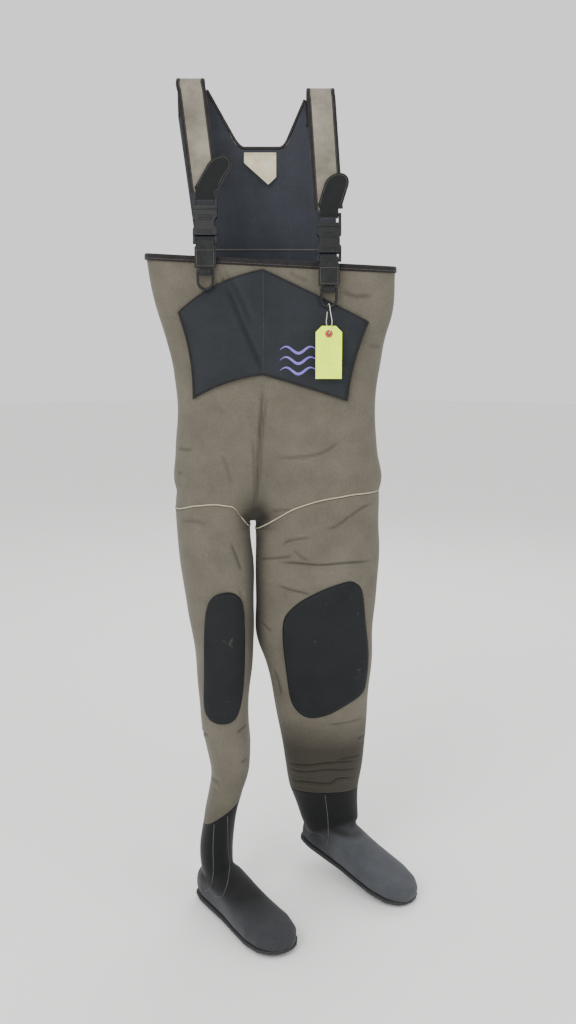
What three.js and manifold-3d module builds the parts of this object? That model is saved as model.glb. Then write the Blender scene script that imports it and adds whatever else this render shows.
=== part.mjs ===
// Stocking-foot chest waders hanging by their shoulder straps. Millimetres, +Z up, front facing -Y.
// The origin is midway between the crests of the two straps. Left and right are the wearer's, so left is +X.
import * as THREE from 'three';
import { mergeVertices } from 'three/addons/utils/BufferGeometryUtils.js';
import Module from 'manifold-3d';

const wasm = await Module();
wasm.setup();

// ---- driving dimensions ----
const NEOPRENE = 5;            // thickness of the suit's foam rubber
const GAP = 0.3;               // clearance between touching pieces
const RIM_Z = -326;            // chest opening at the middle of the torso
const RIM_SLOPE = -0.052;      // the suit hangs a little lower on its left side
const CHEST_CENTRE_X = 27;
const CHEST_WIDTH = 463;
const CHEST_DEPTH = 156;
const WAIST_WIDTH = 380;
const WAIST_DEPTH = 144;
const CROTCH_Z = -815;
const CENTRE_SEAM_X = 11;
const LEG_PARTING_X = -6;
const KNEE_Z = -1065;
const KNEE_ZONE = 110;         // height of the stretch of leg that bends
const TORSO_SEGMENTS = 28;
const LEG_SEGMENTS = 18;
const CHEST_SQUARENESS = 4;    // exponent of the chest's superellipse; 2 is an ellipse
const LEG_SQUARENESS = 2.3;

const STRAP_WIDTH = 52;
const STRAP_THICKNESS = 4;
const STRAP_BINDING = 8;       // width of the tape on each edge of a strap
const STRAP_SLOPE = 0.25;      // how far the front run leans forward for each unit of drop
const STRAP_SPLIT = 60;        // distance below the crest where the front run starts
const CREST_RADIUS = 14;
const BACK_SLOPE = 0.19;       // lean of the high back panel
const BACK_TOP_Y = 14;
const BACK_TIP_DROP = 62;      // distance below the crest where the back panel ends in the strap
const WEBBING_WIDTH = 38;
const WEBBING_THICKNESS = 3;

const BUCKLE_WIDTH = 44;
const BUCKLE_DEPTH = 12;
const BAR = 5;                 // side of the square bars that webbing wraps
const BAR_CLEARANCE = 0.5;
const LOOP_BORE = BAR * Math.SQRT1_2 + BAR_CLEARANCE;   // radius inside a webbing loop
const LOOP_OUTER = LOOP_BORE + WEBBING_THICKNESS;
const PLUG_HEIGHT = 26;
const SOCKET_HEIGHT = 62;
const SOCKET_CAVITY = 42;      // depth of the mouth that takes the plug's prongs
const SOCKET_WALL = 2.2;
const PRONG_LENGTH = 36;
const PRONG_ROOT_GAP = 0.5;    // lets a prong's root turn under the plug's base
const PRONG_WIDTH = 7;
const PRONG_THICKNESS = 5;
const TONGUE_LENGTH = 74;
const TONGUE_WIDTH = 44;
const D_RING_WIDTH = 32;
const D_RING_HEIGHT = 36;
const D_RING_WIRE = 5;

const POCKET_DEPTH = 12;
const POCKET_THICKNESS = 4;
const POCKET_HEM = 24;         // flat sewn margin along the pocket's top and bottom
const KNEE_PAD_THICKNESS = 4;
const SOLE_THICKNESS = 6;
const FOOT_LENGTH = 292;

const TAG_WIDTH = 47.6;
const TAG_HEIGHT = 95.3;
const TAG_THICKNESS = 0.8;
const TAG_HOLE_RADIUS = 3;
const STRING_DIAMETER = 1.2;

// Each side's strap: crest and buckle positions, and how the hook-and-loop tongue leans.
const SIDES = {
  right: { sign: -1, crestX: -118, crestZ: 0, barX: -90, barZ: -212, tongueLean: 0.26 },
  left: { sign: 1, crestX: 118, crestZ: -17, barX: 133, barZ: -243, tongueLean: 0.1 },
};

// Each leg as level sections: height, centre x, centre y, half width, half depth.
const LEGS = {
  right: {
    parting: [-780, 0.31],
    cuff: [-1372, 0.7, -70],
    sections: [
      [-715, -82, 0, 66, 56], [-775, -86, 0, 72, 70], [-830, -86, -5, 71, 79], [-900, -80, -11, 70, 84],
      [-975, -73, -25, 64, 84], [-1070, -66, -43, 56, 80], [-1146, -65, -59, 49, 74],
      [-1208, -63, -68, 46, 71], [-1250, -56, -78, 42, 67], [-1291, -54, -86, 37, 61],
      [-1339, -63, -92, 33, 55], [-1390, -74, -98, 31, 51], [-1440, -80, -104, 32, 52],
      [-1480, -80, -110, 31, 48], [-1515, -79, -112, 26, 34],
    ],
    heel: [-106, -72, -1553],
    heading: -56.5,
    droop: 0,
  },
  left: {
    parting: [-770, -0.35],
    cuff: [-1378, 0, 133],
    sections: [
      [-715, 116, 0, 104, 56], [-775, 116, 0, 120, 68], [-830, 116, -5, 120, 65], [-900, 117, -12, 118, 60],
      [-975, 114, -22, 116, 58], [-1044, 114, -27, 112, 56], [-1095, 119, -27, 104, 54],
      [-1182, 125, -16, 93, 52], [-1252, 129, 0, 85, 50], [-1323, 132, 14, 78, 48],
      [-1382, 133, 26, 70, 46], [-1420, 139, 32, 63, 47], [-1448, 144, 30, 50, 45], [-1475, 148, 25, 30, 30],
    ],
    heel: [98, 76, -1507],
    heading: -45.2,
    droop: 10,
  },
};

const group = new THREE.Group();

// ---- pieces on the suit ----
// Hand-warmer pocket seen from the front, as [x, z]: corners, bends of its edges, reach of its pouch.
const POCKET = {
  peak: [14, -352], right: [-143, -424], rightFoot: [-118, -582], middleFoot: [13, -540],
  leftFoot: [170, -584], left: [208, -436],
  bends: { topRight: [-80, -368], rightEdge: [-114, -500], bottomRight: [-60, -548], leftEdge: [176, -510] },
  sides: { right: -200, left: 260 },
};
const SEAM_TAPE_FOOT_Z = -740; // lower end of the tapes inside the centre seams
const SOLE_POINTS = 56;        // points round an outsole's outline
const SOLE_RIM = 1.5;          // how far an outsole stands out past the foot
const CURVE_SEGMENTS = 8;      // straight pieces in each bend of a flat outline
// Sock foot as shares of its length: position, half width, height of the upper.
const FOOT_STATIONS = [
  [0, 12, 34], [0.04, 26, 56], [0.14, 35, 76], [0.28, 37, 80], [0.45, 39, 66], [0.62, 45, 52],
  [0.78, 48, 42], [0.9, 42, 34], [0.97, 28, 27], [1, 12, 18],
];
const REACH = 400;             // half width of the tools that cut the suit
const ANKLE_RISE = 84;         // from the heel up to the seam between shaft and foot
const KNEE_PADS = {
  right: { span: [-101, -24, -1177, -938], corner: 26, backY: -60 },
  left: { span: [50, 219, -1190, -926], corner: 44, backY: -30 },
};
const BINDING_COVER = 9;       // how far the chest tape reaches down each face
const BACK_PANEL_EDGE = { right: -114, left: 154 };  // x of the high back's sides at the rim
const NECK = { right: -24, left: 44, bottom: -121, corner: 40 };  // flat of the neckline and its corners
const PRONG_ROOT_X = 11;       // from the buckle's middle to each prong's root
const TAB_DROP = 44;           // from the socket's bar to the tab's sewn end
const TAG_SIDE = 'left';       // the D-ring that the shop tag hangs from
const STRING_DROP = 48;        // from the middle of the D-ring's bow to the tag's hole
const TAG_HOLE_INSET = 14;     // from the tag's top edge to its hole
const TAG_CLEARANCE = 5;       // the tag hangs this far in front of the pocket
const STRING_PLAY = 0.9;       // clearance between the string and the wire that it goes round

// ---- finishes ----
const finish = (color, roughness, metalness = 0) => ({ color, roughness, metalness });
const TAUPE = finish(0x8a8172, 0.9);
const BLACK_NEOPRENE = finish(0x2a2d33, 0.92);
const SLATE_LINING = finish(0x42444c, 0.95);
const BLACK_BINDING = finish(0x2b2828, 0.85);
const BLACK_PLASTIC = finish(0x1c1d1f, 0.45);
const BLACK_WEBBING = finish(0x2a2b2b, 0.85);
const LABEL_CLOTH = finish(0xe8e6d8, 0.8);
const TAG_CARD = finish(0xe3f63c, 0.6);
const EYELET_PAPER = finish(0xc2573a, 0.7);
const COTTON = finish(0xf0eee6, 0.8);
const OUTSOLE = finish(0x3a3b3d, 0.8);

function addMesh(name, geometry, look) {
  const mesh = new THREE.Mesh(geometry, new THREE.MeshStandardMaterial(look));
  mesh.name = name;
  group.add(mesh);
}

// ---- solids ----
function toSolid(geometry) {
  const bare = geometry.clone();
  bare.deleteAttribute('normal');
  bare.deleteAttribute('uv');
  const merged = mergeVertices(bare, 1e-4);
  return new wasm.Manifold(new wasm.Mesh({
    numProp: 3,
    vertProperties: new Float32Array(merged.attributes.position.array),
    triVerts: new Uint32Array(merged.index.array),
  }));
}

function toGeometry(solid) {
  const mesh = solid.getMesh();
  const geometry = new THREE.BufferGeometry();
  geometry.setAttribute('position', new THREE.BufferAttribute(new Float32Array(mesh.vertProperties), 3));
  geometry.setIndex(new THREE.BufferAttribute(new Uint32Array(mesh.triVerts), 1));
  return geometry;
}

const uniteAll = (solids) => solids.reduce((sum, solid) => sum.add(solid));

// A closed skin through rings of equal point counts, with a fan over each end.
function loft(rings) {
  const count = rings[0].length;
  const positions = rings.flat().flatMap((p) => [p.x, p.y, p.z]);
  const index = [];
  for (let r = 0; r + 1 < rings.length; r += 1) {
    for (let i = 0; i < count; i += 1) {
      const a = r * count + i;
      const b = r * count + (i + 1) % count;
      index.push(a, b, b + count, a, b + count, a + count);
    }
  }
  [0, rings.length - 1].forEach((r, end) => {
    const centre = rings[r].reduce((sum, p) => sum.add(p), new THREE.Vector3()).divideScalar(count);
    const hub = positions.length / 3;
    positions.push(centre.x, centre.y, centre.z);
    for (let i = 0; i < count; i += 1) {
      const a = r * count + i;
      const b = r * count + (i + 1) % count;
      index.push(...(end === 0 ? [hub, b, a] : [hub, a, b]));
    }
  });
  const geometry = new THREE.BufferGeometry();
  geometry.setAttribute('position', new THREE.Float32BufferAttribute(positions, 3));
  geometry.setIndex(signedVolume(positions, index) < 0 ? index.reverse() : index);
  return geometry;
}

function signedVolume(positions, index) {
  const corner = (i) => new THREE.Vector3().fromArray(positions, index[i] * 3);
  let volume = 0;
  for (let i = 0; i < index.length; i += 3) {
    volume += corner(i).dot(corner(i + 1).cross(corner(i + 2))) / 6;
  }
  return volume;
}

// One superellipse ring; height may fall linearly with x by slope.
function ring({ z, cx, cy, halfX, halfY, power, slope = 0, segments }) {
  const points = [];
  for (let i = 0; i < segments; i += 1) {
    const angle = (i / segments) * 2 * Math.PI;
    const c = Math.cos(angle);
    const s = Math.sin(angle);
    const x = halfX * Math.sign(c) * Math.abs(c) ** (2 / power);
    const y = halfY * Math.sign(s) * Math.abs(s) ** (2 / power);
    points.push(new THREE.Vector3(cx + x, cy + y, z + slope * (cx + x - CHEST_CENTRE_X)));
  }
  return points;
}

function box(x0, x1, y0, y1, z0, z1) {
  const geometry = new THREE.BoxGeometry(x1 - x0, y1 - y0, z1 - z0);
  geometry.translate((x0 + x1) / 2, (y0 + y1) / 2, (z0 + z1) / 2);
  return geometry;
}

// A prism along Y from an outline in the XZ plane, between two y values.
function prismY(shape, y0, y1) {
  const geometry = new THREE.ExtrudeGeometry(shape, {
    depth: y1 - y0, bevelEnabled: false, curveSegments: CURVE_SEGMENTS,
  });
  geometry.rotateX(Math.PI / 2);
  geometry.translate(0, y1, 0);
  return geometry;
}

// A prism along X, centred on x, from an outline whose first coordinate is y and second is z.
function prismX(shape, centreX, width) {
  const geometry = new THREE.ExtrudeGeometry(shape, {
    depth: width, bevelEnabled: false, curveSegments: CURVE_SEGMENTS,
  });
  geometry.applyMatrix4(new THREE.Matrix4().set(0, 0, 1, 0, 1, 0, 0, 0, 0, 1, 0, 0, 0, 0, 0, 1));
  geometry.translate(centreX - width / 2, 0, 0);
  return geometry;
}

const outline = (points) => new THREE.Shape(points.map(([a, b]) => new THREE.Vector2(a, b)));

function roundedRectangle(x0, x1, z0, z1, radius) {
  const shape = new THREE.Shape();
  shape.absarc(x1 - radius, z0 + radius, radius, -Math.PI / 2, 0);
  shape.absarc(x1 - radius, z1 - radius, radius, 0, Math.PI / 2);
  shape.absarc(x0 + radius, z1 - radius, radius, Math.PI / 2, Math.PI);
  shape.absarc(x0 + radius, z0 + radius, radius, Math.PI, 1.5 * Math.PI);
  return shape;
}

// ---- suit forms; offset moves the skin out, or in when negative ----
function torsoForm(offset, rise = 0) {
  const levels = [
    {
      z: RIM_Z, cx: CHEST_CENTRE_X, width: CHEST_WIDTH, depth: CHEST_DEPTH,
      power: CHEST_SQUARENESS, slope: RIM_SLOPE,
    },
    {
      z: -415, cx: 33, width: CHEST_WIDTH - 20, depth: CHEST_DEPTH - 2,
      power: CHEST_SQUARENESS, slope: RIM_SLOPE / 2,
    },
    { z: -485, cx: 36, width: WAIST_WIDTH + 22, depth: CHEST_DEPTH - 4, power: CHEST_SQUARENESS },
    { z: -585, cx: 37, width: WAIST_WIDTH - 4, depth: WAIST_DEPTH, power: 3.6 },
    { z: -682, cx: 37, width: WAIST_WIDTH + 6, depth: WAIST_DEPTH, power: 3 },
    { z: -750, cx: 39, width: WAIST_WIDTH + 16, depth: WAIST_DEPTH, power: 2.6 },
    { z: -790, cx: 38, width: WAIST_WIDTH - 30, depth: WAIST_DEPTH - 14, power: 2.4 },
    { z: CROTCH_Z, cx: 30, width: WAIST_WIDTH - 150, depth: WAIST_DEPTH - 50, power: 2.2 },
  ];
  const rings = levels.map((level, i) => ring({
    z: level.z + (i === 0 ? rise : 0) - (i === levels.length - 1 ? offset : 0),
    cx: level.cx,
    cy: 0,
    halfX: level.width / 2 + offset,
    halfY: level.depth / 2 + offset,
    power: level.power,
    slope: level.slope,
    segments: TORSO_SEGMENTS,
  }));
  return toSolid(loft(rings));
}

function legForm(side, offset) {
  const { sections } = LEGS[side];
  const rings = sections.map(([z, cx, cy, halfX, halfY], i) => ring({
    z: i === sections.length - 1 ? z - offset : z,
    cx,
    cy,
    halfX: halfX + offset,
    halfY: halfY + offset,
    power: LEG_SQUARENESS,
    segments: LEG_SEGMENTS,
  }));
  return toSolid(loft(rings));
}

// Foot frame: +X from heel to toe, +Z up, origin on the ground line at the back of the heel.
function footMatrix(side) {
  const leg = LEGS[side];
  const turn = new THREE.Matrix4().makeRotationZ(THREE.MathUtils.degToRad(leg.heading));
  const tilt = new THREE.Matrix4().makeRotationY(THREE.MathUtils.degToRad(leg.droop));
  return new THREE.Matrix4().makeTranslation(...leg.heel).multiply(turn).multiply(tilt);
}

function footForm(offset, matrix) {
  const rings = FOOT_STATIONS.map(([share, halfWidth, height], i) => {
    const end = i === 0 ? -offset : (i === FOOT_STATIONS.length - 1 ? offset : 0);
    const points = [];
    for (let k = 0; k < LEG_SEGMENTS; k += 1) {
      const angle = (k / LEG_SEGMENTS) * 2 * Math.PI;
      const y = (halfWidth + offset) * Math.cos(angle);
      const z = height / 2 + (height / 2 + offset) * Math.sin(angle);
      points.push(new THREE.Vector3(share * FOOT_LENGTH + end, y, z));
    }
    return points;
  });
  const floor = SOLE_THICKNESS / 2 - offset;
  const keep = box(-50, FOOT_LENGTH + 50, -100, 100, floor, 200);
  const geometry = toGeometry(toSolid(loft(rings)).intersect(toSolid(keep)));
  return toSolid(geometry.applyMatrix4(matrix));
}

// Space under a slanting cut across a leg, as a prism that reaches past the feet.
function spaceBelow(x0, x1, heightAt, lift) {
  return toSolid(prismY(outline([
    [x0, heightAt(x0) + lift], [x0, -1700], [x1, -1700], [x1, heightAt(x1) + lift],
  ]), -500, 300));
}

const partingHeight = {
  right: (x) => LEGS.right.parting[0] - LEGS.right.parting[1] * (x + 160),
  left: (x) => LEGS.left.parting[0] + LEGS.left.parting[1] * (239 - x),
};
const legSpan = { right: [-REACH, LEG_PARTING_X], left: [LEG_PARTING_X, REACH] };
const cuffHeight = (side) => (x) => LEGS[side].cuff[0] + LEGS[side].cuff[1] * (x - LEGS[side].cuff[2]);

function legSpace(side, lift) {
  return spaceBelow(...legSpan[side], partingHeight[side], lift);
}

function slab(z0, z1) {
  return toSolid(box(-REACH, REACH, -500, 300, z0, z1));
}

const footMatrices = { right: footMatrix('right'), left: footMatrix('left') };

function suitForm(offset, rise) {
  return uniteAll([
    torsoForm(offset, rise),
    legForm('right', offset),
    legForm('left', offset),
    footForm(offset, footMatrices.right),
    footForm(offset, footMatrices.left),
  ]);
}

const shell = suitForm(0, 0).subtract(suitForm(-NEOPRENE, 20));

function addTorso() {
  const torso = shell.subtract(legSpace('right', GAP)).subtract(legSpace('left', GAP));
  const leftHalf = toSolid(box(CENTRE_SEAM_X + GAP / 2, REACH, -200, 200, -900, -200));
  const rightHalf = toSolid(box(-REACH, CENTRE_SEAM_X - GAP / 2, -200, 200, -900, -200));
  addMesh('body_panel_left', toGeometry(torso.intersect(leftHalf)), TAUPE);
  addMesh('body_panel_right', toGeometry(torso.intersect(rightHalf)), TAUPE);
}

function addCentreSeamTapes() {
  const thickness = 1;
  const halfWidth = 9;
  const skin = torsoForm(-NEOPRENE - GAP, 30).subtract(torsoForm(-NEOPRENE - GAP - thickness, 40));
  for (const [name, y0, y1] of [['seam_tape_front', -200, 0], ['seam_tape_back', 0, 200]]) {
    const strip = toSolid(box(
      CENTRE_SEAM_X - halfWidth, CENTRE_SEAM_X + halfWidth, y0, y1, SEAM_TAPE_FOOT_Z, RIM_Z - 16,
    ));
    addMesh(name, toGeometry(skin.intersect(strip)), BLACK_BINDING);
  }
}

function addLeg(side) {
  const own = legForm(side, 1).add(footForm(1, footMatrices[side]));
  const leg = shell.intersect(own).intersect(spaceBelow(-REACH, REACH, partingHeight[side], 0));
  const cuff = cuffHeight(side);
  const kneeTop = KNEE_Z + KNEE_ZONE / 2;
  const kneeBottom = KNEE_Z - KNEE_ZONE / 2;
  const sock = leg.intersect(spaceBelow(-REACH, REACH, cuff, 0));
  const ankle = ankleHeight(side);
  addMesh(`thigh_panel_${side}`, toGeometry(leg.intersect(slab(kneeTop + GAP, -700))), TAUPE);
  addMesh(`knee_panel_${side}`, toGeometry(leg.intersect(slab(kneeBottom, kneeTop))), TAUPE);
  const lower = leg.intersect(slab(-1600, kneeBottom - GAP));
  addMesh(`shin_panel_${side}`, toGeometry(lower.subtract(spaceBelow(-REACH, REACH, cuff, GAP))), TAUPE);
  addMesh(`sock_shaft_${side}`, toGeometry(sock.intersect(slab(ankle + GAP, -1200))), BLACK_NEOPRENE);
  addMesh(`sock_foot_${side}`, toGeometry(sock.intersect(slab(-1700, ankle))), BLACK_NEOPRENE);
}

const ankleHeight = (side) => LEGS[side].heel[2] + ANKLE_RISE;

function addOutsole(side) {
  const edge = FOOT_STATIONS.map(([share, halfWidth]) => [share * FOOT_LENGTH, halfWidth + SOLE_RIM]);
  const left = edge.map(([s, w]) => new THREE.Vector2(s, w));
  const right = edge.map(([s, w]) => new THREE.Vector2(s, -w)).reverse();
  const curve = new THREE.SplineCurve([...right, ...left, right[0]]);
  const shape = new THREE.Shape(curve.getPoints(SOLE_POINTS).slice(0, -1));
  const geometry = new THREE.ExtrudeGeometry(shape, { depth: SOLE_THICKNESS, bevelEnabled: false });
  geometry.translate(0, 0, -SOLE_THICKNESS / 2 - GAP);
  geometry.applyMatrix4(footMatrices[side]);
  addMesh(`outsole_${side}`, geometry, OUTSOLE);
}

// A pad laminated on the outside of a form, inside an outline seen from the front.
function surfacePatch(inside, outside, shape, backY) {
  return outside.subtract(inside).intersect(toSolid(prismY(shape, -400, backY)));
}

function addKneePad(side) {
  const pad = KNEE_PADS[side];
  const inside = legForm(side, GAP);
  const outside = legForm(side, GAP + KNEE_PAD_THICKNESS);
  const shape = roundedRectangle(...pad.span, pad.corner);
  addMesh(`knee_pad_${side}`, toGeometry(surfacePatch(inside, outside, shape, pad.backY)), BLACK_NEOPRENE);
}

// Hand-warmer pocket: sewn along its top and bottom edges, open at both sides.
function addPocket() {
  const { peak, right, rightFoot, middleFoot, leftFoot, left, bends, sides } = POCKET;
  const shape = new THREE.Shape();
  shape.moveTo(...peak);
  shape.quadraticCurveTo(...bends.topRight, ...right);
  shape.quadraticCurveTo(...bends.rightEdge, ...rightFoot);
  shape.quadraticCurveTo(...bends.bottomRight, ...middleFoot);
  shape.lineTo(...leftFoot);
  shape.quadraticCurveTo(...bends.leftEdge, ...left);
  shape.lineTo(...peak);
  const raise = ([x, z], by) => [x, z + by];
  const pouch = (hem) => outline([
    [sides.right, -452 - hem], [sides.right, -540], raise(rightFoot, hem), raise(middleFoot, hem),
    raise(leftFoot, hem), [sides.left, -560], [sides.left, -440], raise(left, -hem), raise(peak, -hem),
  ]);
  const backY = -20;
  const flat = surfacePatch(torsoForm(GAP), torsoForm(GAP + POCKET_THICKNESS), shape, backY);
  const raised = surfacePatch(torsoForm(GAP), torsoForm(GAP + POCKET_DEPTH + POCKET_THICKNESS), shape, backY)
    .intersect(toSolid(prismY(pouch(POCKET_HEM), -400, backY)));
  const hollow = torsoForm(GAP + POCKET_DEPTH)
    .intersect(toSolid(prismY(pouch(POCKET_HEM + POCKET_THICKNESS), -400, backY)));
  addMesh('hand_pocket', toGeometry(flat.add(raised).subtract(hollow)), BLACK_NEOPRENE);
}

const rimHeight = (x) => RIM_Z + RIM_SLOPE * (x - CHEST_CENTRE_X);

// Folded tape over the chest rim; it stops where the high back panel rises.
function addChestBinding() {
  const proud = 2;
  const outer = torsoForm(proud, 3);
  const inner = torsoForm(-NEOPRENE - proud, 40);
  const channel = torsoForm(GAP, GAP).subtract(torsoForm(-NEOPRENE - GAP, 20));
  const below = toSolid(prismY(outline([
    [-REACH, rimHeight(-REACH) - BINDING_COVER], [-REACH, -900],
    [REACH, -900], [REACH, rimHeight(REACH) - BINDING_COVER],
  ]), -300, 300));
  const doorway = toSolid(box(BACK_PANEL_EDGE.right - 1, BACK_PANEL_EDGE.left + 1, 10, 300, -900, 0));
  const tape = outer.subtract(inner).subtract(channel).subtract(below).subtract(doorway);
  addMesh('chest_binding', toGeometry(tape), BLACK_BINDING);
}

// The back panel leans, so flat work is sheared: y grows as z falls.
function leanBack(geometry) {
  const shear = new THREE.Matrix4().set(1, 0, 0, 0, 0, 1, -BACK_SLOPE, BACK_TOP_Y, 0, 0, 1, 0, 0, 0, 0, 1);
  return geometry.applyMatrix4(shear);
}

function strapEdges(side) {
  const { crestX, crestZ } = SIDES[side];
  return {
    inner: crestX - SIDES[side].sign * STRAP_WIDTH / 2,
    outer: crestX + SIDES[side].sign * STRAP_WIDTH / 2,
    tip: crestZ - BACK_TIP_DROP - 3 * GAP };
}

function neckline(shape, spread) {
  const right = strapEdges('right');
  const left = strapEdges('left');
  shape.lineTo(left.inner - spread, left.tip);
  shape.quadraticCurveTo(
    NECK.left + NECK.corner / 2 - spread, NECK.bottom + spread, NECK.left, NECK.bottom + spread,
  );
  shape.lineTo(NECK.right, NECK.bottom + spread);
  shape.quadraticCurveTo(
    NECK.right - NECK.corner / 2 + spread, NECK.bottom + spread, right.inner + spread, right.tip,
  );
}

function addHighBack() {
  const right = strapEdges('right');
  const left = strapEdges('left');
  const shape = new THREE.Shape();
  shape.moveTo(BACK_PANEL_EDGE.right, rimHeight(BACK_PANEL_EDGE.right) + GAP);
  shape.lineTo(BACK_PANEL_EDGE.left, rimHeight(BACK_PANEL_EDGE.left) + GAP);
  shape.lineTo(left.outer, left.tip);
  neckline(shape, 0);
  shape.lineTo(right.outer, right.tip);
  addMesh('high_back_panel', leanBack(prismY(shape, -NEOPRENE / 2, NEOPRENE / 2)), SLATE_LINING);
}

function addNeckBinding() {
  const tape = 5;
  const shape = new THREE.Shape();
  shape.moveTo(strapEdges('left').inner - GAP, strapEdges('left').tip);
  neckline(shape, GAP);
  const right = strapEdges('right');
  shape.lineTo(right.inner + tape, right.tip);
  shape.quadraticCurveTo(
    NECK.right - NECK.corner / 2 + tape, NECK.bottom + tape, NECK.right, NECK.bottom + tape,
  );
  shape.lineTo(NECK.left, NECK.bottom + tape);
  const left = strapEdges('left');
  shape.quadraticCurveTo(
    NECK.left + NECK.corner / 2 - tape, NECK.bottom + tape, left.inner - tape, left.tip,
  );
  addMesh('neck_binding', leanBack(prismY(shape, -NEOPRENE / 2 - 1, NEOPRENE / 2 + 1)), BLACK_BINDING);
}

function addCareLabel() {
  const shape = outline([[-23, -127], [-23, -148], [22, -190], [42, -172], [42, -127]]);
  const front = -NEOPRENE / 2 - GAP;
  addMesh('care_label', leanBack(prismY(shape, front - 0.8, front)), LABEL_CLOTH);
}

// A flat band through points; across runs sideways from each point.
function band(points, across0, across1, thickness) {
  const rings = points.map((point, i) => {
    const before = points[Math.max(i - 1, 0)];
    const after = points[Math.min(i + 1, points.length - 1)];
    const along = after.clone().sub(before).normalize();
    const across = new THREE.Vector3(1, 0, 0).addScaledVector(along, -along.x).normalize();
    const normal = along.clone().cross(across).multiplyScalar(thickness / 2);
    return [[across0, 1], [across1, 1], [across1, -1], [across0, -1]].map(([a, n]) => (
      point.clone().addScaledVector(across, a).addScaledVector(normal, n)
    ));
  });
  return loft(rings);
}

// Centre line of a strap from the back panel's tip, over the crest and down its front.
function strapPoint(side, drop, isFront) {
  const { crestX, crestZ, barX, barZ } = SIDES[side];
  const share = isFront ? drop / (crestZ - barZ) : 0;
  const x = crestX + (barX - crestX) * share;
  const y = isFront ? -CREST_RADIUS - STRAP_SLOPE * (drop - CREST_RADIUS)
    : BACK_TOP_Y + BACK_SLOPE * (drop - crestZ);
  return new THREE.Vector3(x, y, crestZ - drop);
}

function strapOverPath(side) {
  const { crestX, crestZ } = SIDES[side];
  const back = [BACK_TIP_DROP, BACK_TIP_DROP / 2].map((drop) => strapPoint(side, drop, false));
  const backY = BACK_TOP_Y + BACK_SLOPE * (CREST_RADIUS - crestZ);
  const crest = [0.1, 0.3, 0.5, 0.7, 0.9].map((share) => {
    const angle = Math.PI * share;
    const middleY = (backY - CREST_RADIUS) / 2;
    const reach = (backY + CREST_RADIUS) / 2;
    const rise = CREST_RADIUS * Math.sin(angle) - CREST_RADIUS - STRAP_THICKNESS / 2;
    return new THREE.Vector3(crestX, middleY + reach * Math.cos(angle), crestZ + rise);
  });
  const front = [CREST_RADIUS + 12, STRAP_SPLIT].map((drop) => strapPoint(side, drop, true));
  return [...back, ...crest, ...front];
}

function strapRunPath(side) {
  const { crestX, crestZ, barX, barZ } = SIDES[side];
  const lean = Math.abs((barX - crestX) / (crestZ - barZ));
  const end = crestZ - barZ - LOOP_OUTER - 2 * GAP - lean * STRAP_WIDTH / 2;
  const start = STRAP_SPLIT + GAP;
  return [start, (start + end) / 2, end].map((drop) => strapPoint(side, drop, true));
}

function addStrap(side) {
  const core = STRAP_WIDTH / 2 - STRAP_BINDING;
  const outerSign = SIDES[side].sign;
  for (const [stretch, path] of [['over', strapOverPath(side)], ['run', strapRunPath(side)]]) {
    addMesh(`strap_${stretch}_${side}`, band(path, -core, core, STRAP_THICKNESS), TAUPE);
    for (const [edge, sign] of [['inner', -outerSign], ['outer', outerSign]]) {
      const span = [sign * (core + GAP), sign * (STRAP_WIDTH / 2)].sort((a, b) => a - b);
      const tape = band(path, span[0], span[1], STRAP_THICKNESS + 1);
      addMesh(`strap_${stretch}_binding_${edge}_${side}`, tape, BLACK_BINDING);
    }
  }
}

// Buckle frame: origin at the centre of the plug's bar, -Z down the strap's lean.
function buckleMatrix(side) {
  const { crestZ, barX, barZ } = SIDES[side];
  const bar = strapPoint(side, crestZ - barZ, true);
  const tilt = new THREE.Matrix4().makeRotationX(-Math.atan(STRAP_SLOPE));
  return new THREE.Matrix4().makeTranslation(barX, bar.y, bar.z).multiply(tilt);
}

const PLUG_BASE_Z = -PLUG_HEIGHT + BAR / 2;
const SOCKET_TOP_Z = PLUG_BASE_Z - GAP;
const SOCKET_BAR_Z = SOCKET_TOP_Z - SOCKET_HEIGHT + BAR / 2;

function plugForm() {
  const half = BUCKLE_WIDTH / 2;
  const bar = toSolid(box(-half, half, -BAR / 2, BAR / 2, -BAR / 2, BAR / 2));
  const cheeks = [-1, 1].map((sign) => {
    const x = sign * (half - BAR / 2);
    return toSolid(box(x - BAR / 2, x + BAR / 2, -BAR / 2, BAR / 2, PLUG_BASE_Z + 5, 0));
  });
  const base = toSolid(box(
    -half, half, -BUCKLE_DEPTH / 2 + 1, BUCKLE_DEPTH / 2 - 1, PLUG_BASE_Z, PLUG_BASE_Z + 8,
  ));
  const guide = toSolid(box(-3, 3, -PRONG_THICKNESS / 2, PRONG_THICKNESS / 2, PLUG_BASE_Z - PRONG_LENGTH + 4,
    PLUG_BASE_Z + 1));
  return uniteAll([bar, ...cheeks, base, guide]);
}

// A spring prong with a rounded finger button; it starts just under the plug's base.
function prongShape(sign) {
  const top = PLUG_BASE_Z - PRONG_ROOT_GAP;
  const end = PLUG_BASE_Z - PRONG_LENGTH;
  const inner = PRONG_ROOT_X - PRONG_WIDTH / 2;
  const outer = PRONG_ROOT_X + PRONG_WIDTH / 2;
  const bulge = BUCKLE_WIDTH / 2 - SOCKET_WALL - GAP;
  return outline([
    [sign * inner, top], [sign * inner, end + 4], [sign * (inner + 4), end], [sign * (outer + 1), end],
    [sign * bulge, end + 6], [sign * bulge, end + 16], [sign * outer, top - 8], [sign * outer, top],
  ]);
}

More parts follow.
